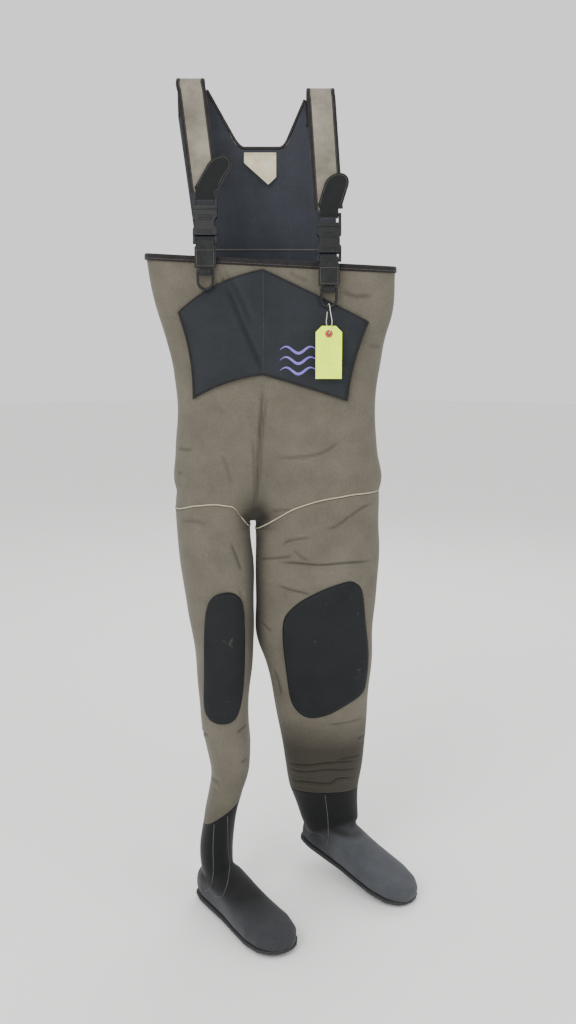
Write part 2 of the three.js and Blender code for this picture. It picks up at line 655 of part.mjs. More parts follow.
function socketForm() {
  const half = BUCKLE_WIDTH / 2;
  const bottom = SOCKET_BAR_Z - BAR / 2;
  const depth = BUCKLE_DEPTH / 2;
  const shellBottom = SOCKET_TOP_Z - SOCKET_HEIGHT + 3 * BAR;
  const body = toSolid(box(-half, half, -depth, depth, shellBottom, SOCKET_TOP_Z));
  const cheeks = toSolid(box(-half, half, -BAR / 2, BAR / 2, bottom, shellBottom + 1));
  const slot = toSolid(box(-half + BAR, half - BAR, -depth - 1, depth + 1, bottom + BAR, shellBottom));
  const mouth = toSolid(box(-half + SOCKET_WALL, half - SOCKET_WALL, -PRONG_THICKNESS / 2 - 0.8,
    PRONG_THICKNESS / 2 + 0.8, SOCKET_TOP_Z - SOCKET_CAVITY, SOCKET_TOP_Z + 1));
  const windowRadius = 14;
  const windowZ = SOCKET_TOP_Z - PRONG_LENGTH + 12;
  const windows = [-1, 1].map((sign) => {
    const cutter = new THREE.CylinderGeometry(windowRadius, windowRadius, BUCKLE_DEPTH + 2, 24);
    cutter.translate(sign * (half + windowRadius - 5), 0, windowZ);
    return toSolid(cutter);
  });
  return [slot, mouth, ...windows].reduce((rest, cut) => rest.subtract(cut), uniteAll([body, cheeks]));
}

// The strap's end: a loop round the plug's bar and the flap that presses onto the strap's front.
function tongueForm(side) {
  const lean = SIDES[side].tongueLean;
  const bore = LOOP_BORE;
  const outer = LOOP_OUTER;
  const profile = new THREE.Shape();
  profile.moveTo(-outer, 0);
  profile.absarc(0, 0, outer, Math.PI, 2 * Math.PI);
  profile.absarc(0, 0, outer, 0, Math.PI * 0.75);
  profile.lineTo(-bore, outer + 2);
  profile.lineTo(-bore, TONGUE_LENGTH);
  profile.lineTo(-outer, TONGUE_LENGTH);
  profile.holes.push(new THREE.Path().absarc(0, 0, bore, 0, 2 * Math.PI, true));
  const half = TONGUE_WIDTH / 2;
  const inside = BUCKLE_WIDTH / 2 - BAR - BAR_CLEARANCE;
  const leanAt = (z) => lean * Math.max(z - outer, 0);
  const top = TONGUE_LENGTH - half;
  const face = new THREE.Shape();
  face.moveTo(inside, -outer - 1);
  face.lineTo(inside, outer + 1);
  face.lineTo(half + leanAt(outer + 8), outer + 8);
  face.absarc(leanAt(top), top, half, 0, Math.PI);
  face.lineTo(-half + leanAt(outer + 8), outer + 8);
  face.lineTo(-inside, outer + 1);
  face.lineTo(-inside, -outer - 1);
  return toSolid(prismX(profile, 0, 4 * half)).intersect(toSolid(prismY(face, -40, 40)));
}

function placed(solid, matrix) {
  return toGeometry(solid).applyMatrix4(matrix);
}

function addBuckle(side) {
  const matrix = buckleMatrix(side);
  addMesh(`buckle_plug_${side}`, placed(plugForm(), matrix), BLACK_PLASTIC);
  addMesh(`buckle_socket_${side}`, placed(socketForm(), matrix), BLACK_PLASTIC);
  addMesh(`strap_tongue_${side}`, placed(tongueForm(side), matrix), BLACK_NEOPRENE);
  for (const [edge, sign] of [['inner', -SIDES[side].sign], ['outer', SIDES[side].sign]]) {
    const prong = prismY(prongShape(sign), -PRONG_THICKNESS / 2, PRONG_THICKNESS / 2);
    addMesh(`buckle_prong_${edge}_${side}`, prong.applyMatrix4(matrix), BLACK_PLASTIC);
  }
}

const bibFrontY = (x) => {
  const share = Math.abs((x - CHEST_CENTRE_X) / (CHEST_WIDTH / 2));
  return -(CHEST_DEPTH / 2) * (1 - share ** CHEST_SQUARENESS) ** (1 / CHEST_SQUARENESS);
};

// Centre of the socket's lower bar in the row's frame.
function socketBar(side) {
  return new THREE.Vector3(0, 0, SOCKET_BAR_Z).applyMatrix4(buckleMatrix(side));
}

// Folded webbing round the socket's bar, sewn to the front of the chest.
function addTab(side) {
  const bar = socketBar(side);
  const bore = LOOP_BORE;
  const outer = LOOP_OUTER;
  const bindingFace = bibFrontY(bar.x) - 2 - GAP;
  const sewnFace = bibFrontY(bar.x) - 2 * GAP;
  const bindingBottom = rimHeight(bar.x) - BINDING_COVER - GAP + RIM_SLOPE * WEBBING_WIDTH;
  const front = bar.y - outer;
  const shape = new THREE.Shape();
  shape.moveTo(front, bar.z);
  shape.lineTo(front, bar.z - TAB_DROP);
  shape.lineTo(sewnFace, bar.z - TAB_DROP);
  shape.lineTo(sewnFace, bindingBottom);
  shape.lineTo(Math.min(bindingFace, sewnFace - 2), bindingBottom);
  shape.lineTo(Math.min(bindingFace, sewnFace - 2), bar.z - outer - 4);
  shape.lineTo(bar.y + outer * 0.7, bar.z - outer * 0.7);
  shape.absarc(bar.y, bar.z, outer, -Math.PI / 4, Math.PI);
  shape.holes.push(new THREE.Path().absarc(bar.y, bar.z, bore, 0, 2 * Math.PI, true));
  const inside = BUCKLE_WIDTH / 2 - BAR - BAR_CLEARANCE;
  const cheekClear = outline([
    [bar.x - inside, bar.z + outer + 1], [bar.x - inside, bar.z - BAR],
    [bar.x - WEBBING_WIDTH / 2, bar.z - BAR - 3],
    [bar.x - WEBBING_WIDTH / 2, bar.z - TAB_DROP - 1], [bar.x + WEBBING_WIDTH / 2, bar.z - TAB_DROP - 1],
    [bar.x + WEBBING_WIDTH / 2, bar.z - BAR - 3], [bar.x + inside, bar.z - BAR],
    [bar.x + inside, bar.z + outer + 1],
  ]);
  const tab = toSolid(prismX(shape, bar.x, BUCKLE_WIDTH)).intersect(toSolid(prismY(cheekClear, -300, 0)));
  addMesh(`webbing_tab_${side}`, toGeometry(tab), BLACK_WEBBING);
}

// Centre of the D-ring's straight bar, which is also its hinge.
function ringBar(side) {
  const bar = socketBar(side);
  const bore = D_RING_WIRE * Math.SQRT1_2 + BAR_CLEARANCE;
  const hemFace = -CHEST_DEPTH / 2 - POCKET_THICKNESS - 2 * GAP;
  const y = Math.min(bar.y, hemFace - D_RING_WIRE / 2 - 3);
  return { x: bar.x, y, z: bar.z - TAB_DROP - GAP - bore - WEBBING_THICKNESS, bore };
}

function addRingLoop(side) {
  const { x, y, z, bore } = ringBar(side);
  const outer = bore + WEBBING_THICKNESS;
  const loop = new THREE.Shape().absarc(y, z, outer, 0, 2 * Math.PI);
  loop.holes.push(new THREE.Path().absarc(y, z, bore, 0, 2 * Math.PI, true));
  addMesh(`ring_loop_${side}`, prismX(loop, x, D_RING_WIDTH - 2 * D_RING_WIRE - 2), BLACK_WEBBING);
}

function dShape(width, top, bottom) {
  const half = width / 2;
  const shape = new THREE.Shape();
  shape.moveTo(half, top);
  shape.lineTo(-half, top);
  shape.lineTo(-half, bottom + half);
  shape.absarc(0, bottom + half, half, Math.PI, 2 * Math.PI);
  return shape;
}

function addDRing(side) {
  const { x, y, z } = ringBar(side);
  const wire = D_RING_WIRE;
  const top = wire / 2;
  const shape = dShape(D_RING_WIDTH, top, top - D_RING_HEIGHT);
  shape.holes.push(dShape(D_RING_WIDTH - 2 * wire, top - wire, top - D_RING_HEIGHT + wire));
  const ringBody = prismY(shape, -wire / 2, wire / 2);
  addMesh(`d_ring_${side}`, ringBody.translate(x, y, z), BLACK_PLASTIC);
}

// The bow is the middle of the D-ring's lowest wire. The string goes through the tag's hole,
// up round the bow and back to the hole.
function stringPoints(bow, hole) {
  const { x, y, z } = bow;
  const wrap = D_RING_WIRE * Math.SQRT1_2 + STRING_DIAMETER / 2 + STRING_PLAY;
  const turn = wrap * Math.SQRT1_2;
  return [
    [hole.x - 0.4, hole.y + TAG_THICKNESS / 2, hole.z - 0.4],
    [x - 1.6, hole.y + 2.6, hole.z + 3],
    [x - 4.6, hole.y + 2.8, hole.z + 20],
    [x - 4.2, hole.y + 2.8, z - 20],
    [x - 2.8, y + wrap - 2.4, z - 9],
    [x - 1.8, y + wrap, z - 2],
    [x - 1, y + turn, z + turn],
    [x, y, z + wrap],
    [x + 1, y - turn, z + turn],
    [x + 1.8, y - wrap, z - 2],
    [x + 2.8, y - wrap - 1.5, z - 9],
    [x + 4.6, hole.y - 1.5, z - 20],
    [x + 5.4, hole.y - 2.6, hole.z + 20],
    [x + 2.6, hole.y - 3, hole.z + 6],
    [hole.x, hole.y - 1.8, hole.z - 0.6],
  ].map((p) => new THREE.Vector3(...p));
}

function addShopTag() {
  const bar = ringBar(TAG_SIDE);
  const bow = new THREE.Vector3(bar.x, bar.y, bar.z + D_RING_WIRE - D_RING_HEIGHT);
  const pouchFace = -CHEST_DEPTH / 2 - POCKET_DEPTH - POCKET_THICKNESS - 2 * GAP;
  const hole = new THREE.Vector3(bow.x, Math.min(bow.y, pouchFace) - TAG_CLEARANCE, bow.z - STRING_DROP);
  const clip = 11;
  const half = TAG_WIDTH / 2;
  const top = hole.z + TAG_HOLE_INSET;
  const shape = outline([
    [hole.x - half, top - TAG_HEIGHT], [hole.x + half, top - TAG_HEIGHT], [hole.x + half, top - clip],
    [hole.x + half - clip, top], [hole.x - half + clip, top], [hole.x - half, top - clip],
  ]);
  shape.holes.push(new THREE.Path().absarc(hole.x, hole.z, TAG_HOLE_RADIUS, 0, 2 * Math.PI, true));
  addMesh('shop_tag', prismY(shape, hole.y, hole.y + TAG_THICKNESS), TAG_CARD);
  const patch = new THREE.Shape().absarc(hole.x, hole.z, TAG_HOLE_RADIUS + 4, 0, 2 * Math.PI);
  patch.holes.push(new THREE.Path().absarc(hole.x, hole.z, TAG_HOLE_RADIUS, 0, 2 * Math.PI, true));
  addMesh('tag_eyelet', prismY(patch, hole.y - GAP - 0.6, hole.y - GAP), EYELET_PAPER);
  const section = new THREE.Shape();
  for (let k = 0; k < 8; k += 1) {
    const angle = (k / 8) * 2 * Math.PI;
    const method = k === 0 ? 'moveTo' : 'lineTo';
    section[method](STRING_DIAMETER / 2 * Math.cos(angle), STRING_DIAMETER / 2 * Math.sin(angle));
  }
  const extrudePath = new THREE.CatmullRomCurve3(stringPoints(bow, hole));
  addMesh('tag_string', new THREE.ExtrudeGeometry(section, { steps: 44, extrudePath }), COTTON);
}

addTorso();
addCentreSeamTapes();
addChestBinding();
addHighBack();
addNeckBinding();
addCareLabel();
addPocket();
for (const side of ['left', 'right']) {
  addLeg(side);
  addOutsole(side);
  addKneePad(side);
  addStrap(side);
  addBuckle(side);
  addTab(side);
  addRingLoop(side);
  addDRing(side);
}
addShopTag();

export default group;
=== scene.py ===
"""Chest waders: suit, socks, straps, buckles, trim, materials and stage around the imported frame."""
import math

import bmesh
import bpy
import numpy as np
from mathutils import Matrix, Vector


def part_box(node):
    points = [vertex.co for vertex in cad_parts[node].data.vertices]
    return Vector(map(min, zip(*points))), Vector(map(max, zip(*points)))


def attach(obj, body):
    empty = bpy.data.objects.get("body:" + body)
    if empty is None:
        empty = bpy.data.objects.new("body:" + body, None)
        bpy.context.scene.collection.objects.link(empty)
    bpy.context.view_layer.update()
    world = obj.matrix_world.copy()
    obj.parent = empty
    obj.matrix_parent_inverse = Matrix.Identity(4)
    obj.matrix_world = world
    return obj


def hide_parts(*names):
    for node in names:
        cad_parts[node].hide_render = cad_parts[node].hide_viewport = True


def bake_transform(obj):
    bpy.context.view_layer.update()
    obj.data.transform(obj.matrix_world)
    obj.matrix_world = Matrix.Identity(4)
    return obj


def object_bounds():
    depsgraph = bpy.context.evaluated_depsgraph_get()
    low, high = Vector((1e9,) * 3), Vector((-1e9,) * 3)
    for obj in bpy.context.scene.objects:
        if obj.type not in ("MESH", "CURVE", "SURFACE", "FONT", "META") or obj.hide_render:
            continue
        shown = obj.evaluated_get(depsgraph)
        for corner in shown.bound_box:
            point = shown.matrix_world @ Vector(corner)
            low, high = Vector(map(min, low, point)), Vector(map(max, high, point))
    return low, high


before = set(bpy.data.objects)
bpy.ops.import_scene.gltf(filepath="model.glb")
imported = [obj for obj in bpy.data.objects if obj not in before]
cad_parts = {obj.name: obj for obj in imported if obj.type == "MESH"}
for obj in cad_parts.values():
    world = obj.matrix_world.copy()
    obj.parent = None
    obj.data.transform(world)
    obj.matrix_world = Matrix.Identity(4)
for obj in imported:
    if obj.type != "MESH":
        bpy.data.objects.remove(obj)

CAD_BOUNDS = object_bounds()

bl_info = {
    "name": "Chest Waders",
    "version": (1, 0, 0),
    "blender": (4, 5, 0),
    "location": "3D View > Sidebar > Waders",
    "description": "Builds stocking-foot chest waders around their CAD frame",
    "category": "Object",
}

MM = 0.001
SIDES = ("left", "right")
SIGN = {"left": 1, "right": -1}          # the wearer's left is +X

# Suit, in millimetres
NEOPRENE = 5
SKIN_GAP = 0.3
CHEST_CENTRE_X = 27
CROTCH_X = -6
RIM_Z = -326
RIM_SLOPE = -0.052
KNEE_TOP, KNEE_BOTTOM = -1010, -1120
LEG_SQUARENESS = 2.3
# Torso levels: height, centre x, half width, half depth, squareness, slope of the level
TORSO = np.array([
    (-326, 27, 231.5, 78, 4.0, -0.052), (-415, 33, 221.5, 77, 4.0, -0.026), (-485, 36, 201, 76, 4.0, 0),
    (-585, 37, 188, 72, 3.6, 0), (-682, 37, 193, 72, 3.0, 0), (-750, 39, 198, 72, 2.6, 0),
    (-790, 38, 175, 65, 2.4, 0), (-815, 30, 115, 47, 2.2, 0),
], float)
# Leg levels: height, centre x, centre y, half width, half depth
LEGS = {
    "right": np.array([
        (-715, -82, 0, 66, 70), (-775, -86, 0, 72, 72), (-830, -86, -5, 71, 79), (-900, -79.5, -11, 71, 84),
        (-975, -72.5, -25, 65.5, 84), (-1070, -65.5, -43, 57, 80), (-1146, -65, -59, 49, 74),
        (-1208, -63, -68, 46, 71),
        (-1250, -56, -78, 42, 67), (-1291, -54, -86, 37, 61), (-1339, -63, -92, 33, 55),
        (-1390, -74, -98, 31, 51),
        (-1440, -80, -104, 32, 52), (-1480, -80, -110, 31, 48), (-1515, -79, -112, 26, 34),
    ], float),
    "left": np.array([
        (-715, 116, 0, 112, 70), (-775, 116, 0, 120, 71), (-830, 116, -5, 120, 65),
        (-900, 116, -12, 119.5, 60),
        (-975, 113, -22, 117.5, 58), (-1044, 111, -27, 113.5, 56), (-1095, 119, -27, 104, 54),
        (-1182, 125, -16, 93, 52),
        (-1252, 129, 0, 85, 50), (-1323, 132, 14, 78, 48), (-1382, 133, 26, 70, 46), (-1420, 139, 32, 64, 47),
        (-1448, 144, 30, 59, 46), (-1475, 147, 22, 48, 40),
    ], float),
}
# Seams across each leg, each the lowest of its planes: height at x = 0 and slope along x
THIGH_SEAM = {
    "right": [(-737.3, 0.34), (-765.2, 0.11), (-789, -0.19), (-852.4, -1.7)],
    "left": [(-757, 0.0), (-785.2, 0.154), (-808.6, 0.353), (-829.7, 0.667)],
}
CUFF = {"right": (-1323, 0.7), "left": (-1378, 0.0)}
# Foot frames: back of the heel, heading and droop in degrees
FEET = {"right": ((-106, -72, -1553), -56.5, 0), "left": ((98, 76, -1507), -45.2, 10)}
FOOT_LENGTH = 292
# Sock foot stations: share of the length, half width, height of the upper
FOOT_STATIONS = np.array([
    (0, 12, 34), (0.04, 26, 56), (0.14, 35, 76), (0.28, 37, 80), (0.45, 39, 66), (0.62, 45, 52),
    (0.78, 48, 42), (0.9, 42, 34), (0.97, 28, 27), (1, 12, 18),
], float)
SOLE_THICKNESS = 6
SOLE_RIM = 1.5

# Straps and buckles, in millimetres
CREST = {"right": (-118, 0), "left": (118, -17)}
BAR_AT = {"right": (-90, -212), "left": (133, -243)}
STRAP_WIDTH = 52
STRAP_THICKNESS = 4
STRAP_BINDING = 8
STRAP_SLOPE = 0.25
CREST_RADIUS = 14
BACK_SLOPE = 0.19
BACK_TOP_Y = 14
BACK_TIP_DROP = 62
BACK_EDGE = {"right": -114, "left": 154}
NECK = {"right": -24, "left": 44, "bottom": -121, "corner": 40, "drop": 18}
LOOP_OUTER = 7.04                        # outside of a webbing loop round a 5 mm bar
WIRE = 5
TONGUE_LENGTH = 74
TONGUE_CURVE = 1.4                       # power of the share of its length by which a tongue bends

# Camera that looks at the hanging suit, in metres, degrees and millimetres
CAMERA_AT = (0.059, -2.354, -0.327)
CAMERA_PITCH = 11.44
SENSOR_HEIGHT = 24.0
FOCAL_PER_HEIGHT = 1235 / 1024

# Creases seen from the front: points (x, z), width and depth, in millimetres
BODY_FOLDS = [
    ([(-70, -334), (-42, -395), (-14, -460), (7, -512)], 4.5, 3.2),
    ([(-58, -334), (-33, -390), (-6, -452)], 4, 1.4),
    ([(13, -540), (9, -600), (4, -660), (2, -720), (-2, -790)], 4, 2.4),
    ([(22, -556), (13, -620), (8, -690), (5, -760)], 4, 1.4),
    ([(-8, -640), (-4, -700), (-4, -760), (-10, -790)], 4, 1.2),
    ([(31, -686), (71, -685), (106, -681), (131, -673), (163, -649)], 4, 1.4),
    ([(-152, -672), (-138, -674), (-120, -673)], 4, 1.6),
    ([(-152, -720), (-140, -721)], 4, 1.3),
    ([(-66, -676), (-54, -711), (-46, -741)], 5, 0.9),
    ([(154, -378), (182, -388), (216, -386)], 4.5, 1.6),
    ([(60, -340), (72, -352), (96, -362)], 5, 1.2),
    ([(-178, -470), (-166, -500), (-158, -540)], 6, 2.2),
    ([(206, -478), (222, -480), (232, -478)], 4, 1.2),
    ([(25, -792), (48, -786), (74, -790)], 4, 1.2),
    ([(-36, -798), (-6, -812), (28, -798)], 14, 3.0),
    ([(-30, -806), (-6, -818), (20, -808)], 9, 2.0),
]
LEG_FOLDS = {
    "left": [
        ([(126, -815), (135, -821), (150, -818), (173, -801), (202, -783), (228, -778)], 4, 1.8),
        ([(46, -857), (60, -847), (80, -842), (103, -839)], 4, 1.6),
        ([(68, -863), (86, -878), (103, -887)], 4, 1.5),
        ([(27, -889), (74, -889), (118, -892), (168, -889), (232, -889)], 3.6, 2.4),
        ([(2, -888), (15, -885), (57, -878), (71, -873)], 4, 1.8),
        ([(36, -932), (62, -940), (92, -946), (106, -953)], 4, 2.0),
        ([(6, -1008), (15, -1016), (27, -1026)], 4, 1.6),
        ([(134, -1217), (176, -1216), (212, -1212)], 4, 1.5),
        ([(57, -1314), (100, -1313), (130, -1309), (171, -1307), (203, -1307)], 4.5, 3.2),
        ([(57, -1326), (89, -1329), (135, -1324), (171, -1326), (203, -1325)], 4, 2.6),
        ([(150, -1306), (171, -1298), (205, -1296)], 4, 2.0),
        ([(61, -1354), (100, -1354), (142, -1357), (158, -1346), (181, -1346), (199, -1349)], 4.5, 3.0),
        ([(30, -1100), (40, -1130), (46, -1160)], 5, 1.5),
        ([(196, -1258), (214, -1254)], 5, 1.4),
    ],
    "right": [
        ([(-116, -1219), (-104, -1218), (-93, -1211)], 4, 2.6),
        ([(-118, -1206), (-104, -1208)], 4, 1.4),
        ([(-39, -1207), (-20, -1199)], 4, 1.8),
        ([(-50, -845), (-38, -875), (-28, -905)], 5, 1.8),
        ([(-36, -930), (-26, -965), (-22, -1000)], 5, 1.2),
        ([(-148, -812), (-120, -806), (-92, -812)], 6, 1.0),
        ([(-32, -1265), (-20, -1262)], 5, 1.5),
        ([(-90, -1300), (-72, -1304)], 6, 1.2),
    ],
}
BACK_FOLDS = [
    ([(34, -1046), (96, -1056), (150, -1050), (196, -1036)], 5, 3.0), ([(48, -1080), (110, -1070),
                                                                        (172, -1084)], 6, 2.0),
    ([(-118, -1058), (-80, -1050), (-30, -1060)], 5, 2.4), ([(-104, -1084), (-64, -1080), (-30, -1092)], 6,
                                                            1.6),
    ([(-146, -690), (-84, -716), (-20, -738), (8, -742)], 8, 2.2), ([(24, -748), (96, -726), (190, -716)],
                                                                    8, 1.8),
    ([(11, -350), (11, -500), (11, -640), (8, -780)], 3, 1.0), ([(-140, -500), (-70, -492), (10, -505)], 9,
                                                                1.2),
    ([(70, -600), (130, -590), (196, -604)], 8, 1.2), ([(90, -880), (140, -872), (196, -884)], 7, 1.6),
    ([(60, -1310), (124, -1300), (188, -1312)], 6, 2.2), ([(-108, -1238), (-74, -1248), (-34, -1240)], 5,
                                                          2.0),
]
# Outlines of the knee pads seen from the front, (x, z) in millimetres
PADS = {
    "left": [(173, -925), (191, -930), (202, -948), (209, -1008), (216, -1075), (212, -1135), (203, -1156),
             (172, -1175), (138, -1194), (104, -1202), (80, -1191), (64, -1163), (55, -1100), (49, -1040),
             (50, -1003), (60, -983), (86, -960), (130, -938)],
    "right": [(-58, -938), (-38, -944), (-27, -964), (-23, -1010), (-23, -1075), (-27, -1135), (-36, -1171),
              (-51, -1184), (-76, -1185), (-94, -1177), (-102, -1156), (-101, -1090), (-100, -1020),
              (-95, -970),
              (-82, -946)],
}
PAD_THICKNESS = 4

# Walls, skins and trim, in millimetres
SUIT_VOXEL, SUIT_ROUNDS = 3.8, 6
SOCK_VOXEL, SOCK_ROUNDS = 3.2, 8
SOCK_WALL = 4
POCKET_WALL = 4
LABEL_WALL = 0.5
BODY_SHARPNESS, LEG_SHARPNESS = 0.85, 0.62   # share of each crease's stated width
LEG_ROWS, LEG_COLUMNS = 270, {"left": 160, "right": 130}
FOOT_FLOOR_POWER, FOOT_UPPER_POWER = 5.0, 2.3
SOLE_STATIONS = np.array([
    (0, 0), (0.006, 14), (0.02, 22), (0.05, 30), (0.14, 37), (0.28, 39), (0.45, 41), (0.62, 46), (0.78, 49.5),
    (0.9, 44), (0.965, 30), (0.99, 17), (1, 0),
])
POCKET_ROWS, POCKET_COLUMNS = 91, 121
POCKET_CORNERS = {
    "top_right": (-143, -417), "top": (14, -339), "top_left": (208, -434),
    "bottom_right": (-118, -577), "bottom": (13, -531), "bottom_left": (170, -580),
}
TRIM_POINTS = 120
WAVE_LEVELS = (-484, -503, -522)
WAVE_RISE, WAVE_START, WAVE_LENGTH, WAVE_PERIODS = 6, 44, 68, 1.5
LINING_SEAM_Z = -304.0
LABEL_TOP_Z, LABEL_SEAM_Z = -127, -130.0
LABEL_EDGE = [(-23, -146), (22, -185), (37, -171)]
BUCKLE_FACE_Y = -6.1
GRIP_LEVELS = (-34.5, -38.5, -42.5, -62, -66)
GRIP_HALF_WIDTH = 13
TONGUE_BEND = {"right": 24, "left": 17}
TONGUE_LEAN = {"right": 0.26, "left": 0.1}
TONGUE_ROUND = 22                        # from the middle of a tongue's round end to its tip
TONGUE_SEAM = 18.6                       # half width of the outline that a tongue's stitches follow
STRING_DIAMETER = 1.2
STRING_PLAY = 0.9
FLOOR_GAP = 4
FORWARD = (0.0, -1.0, 0.0)

COLOURS = {
    "taupe": "#615C51", "taupe_worn": "#565147", "taupe_shin_dark_and_shade": "#26231C", "strap": "#8B8478",
    "slate": "#3A3D44", "slate_dark": "#303238",
    "pocket": "#272A2E", "pocket_dark": "#1F2226", "pocket_seam": "#3E4146", "pocket_seam_dark": "#303337",
    "pad": "#0F1214", "pad_light": "#15181B",
    "sock": "#44464A", "sock_worn": "#3A3C40", "sock_dark": "#0A0B0D",
    "sock_seam": "#4C4D50", "sock_seam_dark": "#3C3D40", "sole": "#222326",
    "binding": "#181616", "binding_light": "#262223", "webbing": "#171818", "webbing_light": "#252727",
    "pile": "#0D0E0F", "pile_light": "#141617", "plastic": "#0F1012",
    "label": "#D6D2C0", "label_warm": "#C2B48E", "card": "#E0FF00", "eyelet": "#B24430",
    "cotton": "#E4E1D6", "cotton_dark": "#D9D5C8", "seam": "#A8A087", "seam_dark": "#A79F86",
    "motif": "#6C5CC4", "motif_pale": "#7C72B4", "thread": "#5C5853", "thread_pale": "#5D5955",
    "dark_thread": "#0E0E0E", "dark_thread_pale": "#262424",
    "fold_shade": "#15120E", "scuff": "#8D887B", "scratch": "#8A8880",
    "floor": "#F6F6F4", "surround": "#FFFFFF",
}


# ---- numbers ----
def linear(code):
    """An sRGB hex colour as linear red, green, blue and alpha."""
    values = [int(code[i:i + 2], 16) / 255 for i in (1, 3, 5)]
    return tuple(v / 12.92 if v <= 0.04045 else ((v + 0.055) / 1.055) ** 2.4 for v in values) + (1.0,)


def levels_at(table, heights):
    """Rows of a level table at any heights: a cubic between two levels that keeps each level's mean slope."""
    rows = table[::-1]
    z = rows[:, 0]
    slopes = np.gradient(rows, z, axis=0)
    heights = np.clip(heights, z[0], z[-1])
    k = np.clip(np.searchsorted(z, heights) - 1, 0, len(z) - 2)
    step = z[k + 1] - z[k]
    t = ((heights - z[k]) / step)[..., None]
    a = rows[k] * (1 + 2 * t) * (1 - t) ** 2 + rows[k + 1] * t ** 2 * (3 - 2 * t)
    b = slopes[k] * t * (1 - t) ** 2 - slopes[k + 1] * t ** 2 * (1 - t)
    return a + b * step[..., None]


def signed_power(value, exponent):
    return np.sign(value) * np.abs(value) ** exponent


def resample(points, count, closed=False, smooth=True):
    """Evenly spaced points on a path: a Catmull-Rom curve through the points, or straight runs."""
    points = np.asarray(points, float)
    if closed:
        points = np.concatenate([points[-2:], points, points[:3]] if smooth else [points, points[:1]])
    if smooth:
        if not closed:
            points = np.concatenate([2 * points[:1] - points[1:2], points, 2 * points[-1:] - points[-2:-1]])
        t = np.linspace(0, 1, 17)[:-1, None, None]
        p0, p1, p2, p3 = points[None, :-3], points[None, 1:-2], points[None, 2:-1], points[None, 3:]
        fine = 0.5 * (2 * p1 + (p2 - p0) * t + (2 * p0 - 5 * p1 + 4 * p2 - p3) * t ** 2
                      + (3 * p1 - p0 - 3 * p2 + p3) * t ** 3)
        fine = fine.transpose(1, 0, 2).reshape(-1, points.shape[1])
        if closed:
            fine = fine[16:-16 + 1] if len(fine) > 48 else fine
        else:
            fine = np.concatenate([fine, points[-2:-1]])
        points = fine
    run = np.concatenate([[0], np.cumsum(np.linalg.norm(np.diff(points, axis=0), axis=1))])
    at = np.linspace(0, run[-1], count, endpoint=not closed)
    return np.stack([np.interp(at, run, points[:, i]) for i in range(points.shape[1])], 1)


def path_length(points):
    return float(np.linalg.norm(np.diff(points, axis=0), axis=1).sum())


def unit(vectors):
    return vectors / np.maximum(np.linalg.norm(vectors, axis=-1, keepdims=True), 1e-12)


def along_path(points, path):
    """Distance of each point from a path in the plane, and how far along the path its nearest spot is."""
    a, span = path[:-1], np.diff(path, axis=0)
    t = np.einsum("pkd,kd->pk", points[:, None] - a[None], span) / np.maximum((span ** 2).sum(1), 1e-9)
    t = np.clip(t, 0, 1)
    gap = np.linalg.norm(points[:, None] - a[None] - t[..., None] * span[None], axis=2)
    rows, best = np.arange(len(points)), gap.argmin(1)
    return gap[rows, best], (best + t[rows, best]) / len(span)


def folds_on(points, facing, folds, sharp=1.0):
    """Depth and painted shade of creases: a valley exp(-(r/w)^2) with a low bank 2.2 w to either side, whose
    shade goes negative for a painted highlight.
    """
    depth = np.zeros(len(points))
    dark = np.zeros(len(points))
    flat = points[:, [0, 2]]
    for line, breadth, deep in folds:
        width = breadth * sharp
        path = resample(line, 4 * len(line))
        r, share = along_path(flat, path)
        fade = np.clip(np.minimum(share, 1 - share) / 0.22, 0, 1)
        fade = fade ** 2 * (3 - 2 * fade)
        valley = np.exp(-(r / width) ** 2) * fade * facing
        bank = np.exp(-((r - 2.2 * width) / width) ** 2) * fade * facing
        depth += deep * (0.4 * bank - valley)
        dark = np.maximum(dark, valley * min(deep / 2.4, 1)) - 0.25 * bank * min(deep / 2.4, 1)
    return depth, dark


def unevenness(points):
    """Slow hollows of hanging foam rubber in millimetres: two sine waves multiplied, plus two more."""
    x, y, z = points.T
    return (np.sin(x / 31 + z / 83) * np.sin(z / 47 - y / 35) + 0.6 * np.sin(x / 17 - z / 29 + 1.3)
            + 0.5 * np.sin((x + y) / 23 + z / 19))


# ---- suit surfaces, in millimetres ----
def torso_points(heights, angles, offset=0.0):
    """Torso skin: a superellipse at each height whose level may slope down along x."""
    row = levels_at(TORSO, heights)
    c, s = np.cos(angles), np.sin(angles)
    x = row[..., 1] + (row[..., 2] + offset) * signed_power(c, 2 / row[..., 4])
    y = (row[..., 3] + offset) * signed_power(s, 2 / row[..., 4])
    return np.stack([x, y, heights + row[..., 5] * (x - CHEST_CENTRE_X)], -1)


def leg_points(side, heights, angles, offset=0.0):
    """Leg skin: a superellipse of power 2.3 at each height, about the leg's own centre line."""
    row = levels_at(LEGS[side], heights)
    x = row[..., 1] + (row[..., 3] + offset) * signed_power(np.cos(angles), 2 / LEG_SQUARENESS)
    y = row[..., 2] + (row[..., 4] + offset) * signed_power(np.sin(angles), 2 / LEG_SQUARENESS)
    return np.stack([x, y, np.broadcast_to(heights, x.shape)], -1)


def torso_front(x, z, side=-1):
    """Depth of the torso's skin seen from the front, or from the back when side is 1."""
    level = z
    for _ in range(3):
        row = levels_at(TORSO, level)
        level = z - row[..., 5] * (x - CHEST_CENTRE_X)
    share = np.clip(np.abs((x - row[..., 1]) / row[..., 2]), 0, 0.999)
    return side * row[..., 3] * (1 - share ** row[..., 4]) ** (1 / row[..., 4])


def leg_front(side, x, z):
    """Depth of a leg's skin seen from the front."""
    row = levels_at(LEGS[side], z)
    share = np.clip(np.abs((x - row[..., 1]) / row[..., 3]), 0, 0.999)
    return row[..., 2] - row[..., 4] * (1 - share ** LEG_SQUARENESS) ** (1 / LEG_SQUARENESS)


def plane_height(plane, x):
    return plane[0] + plane[1] * x


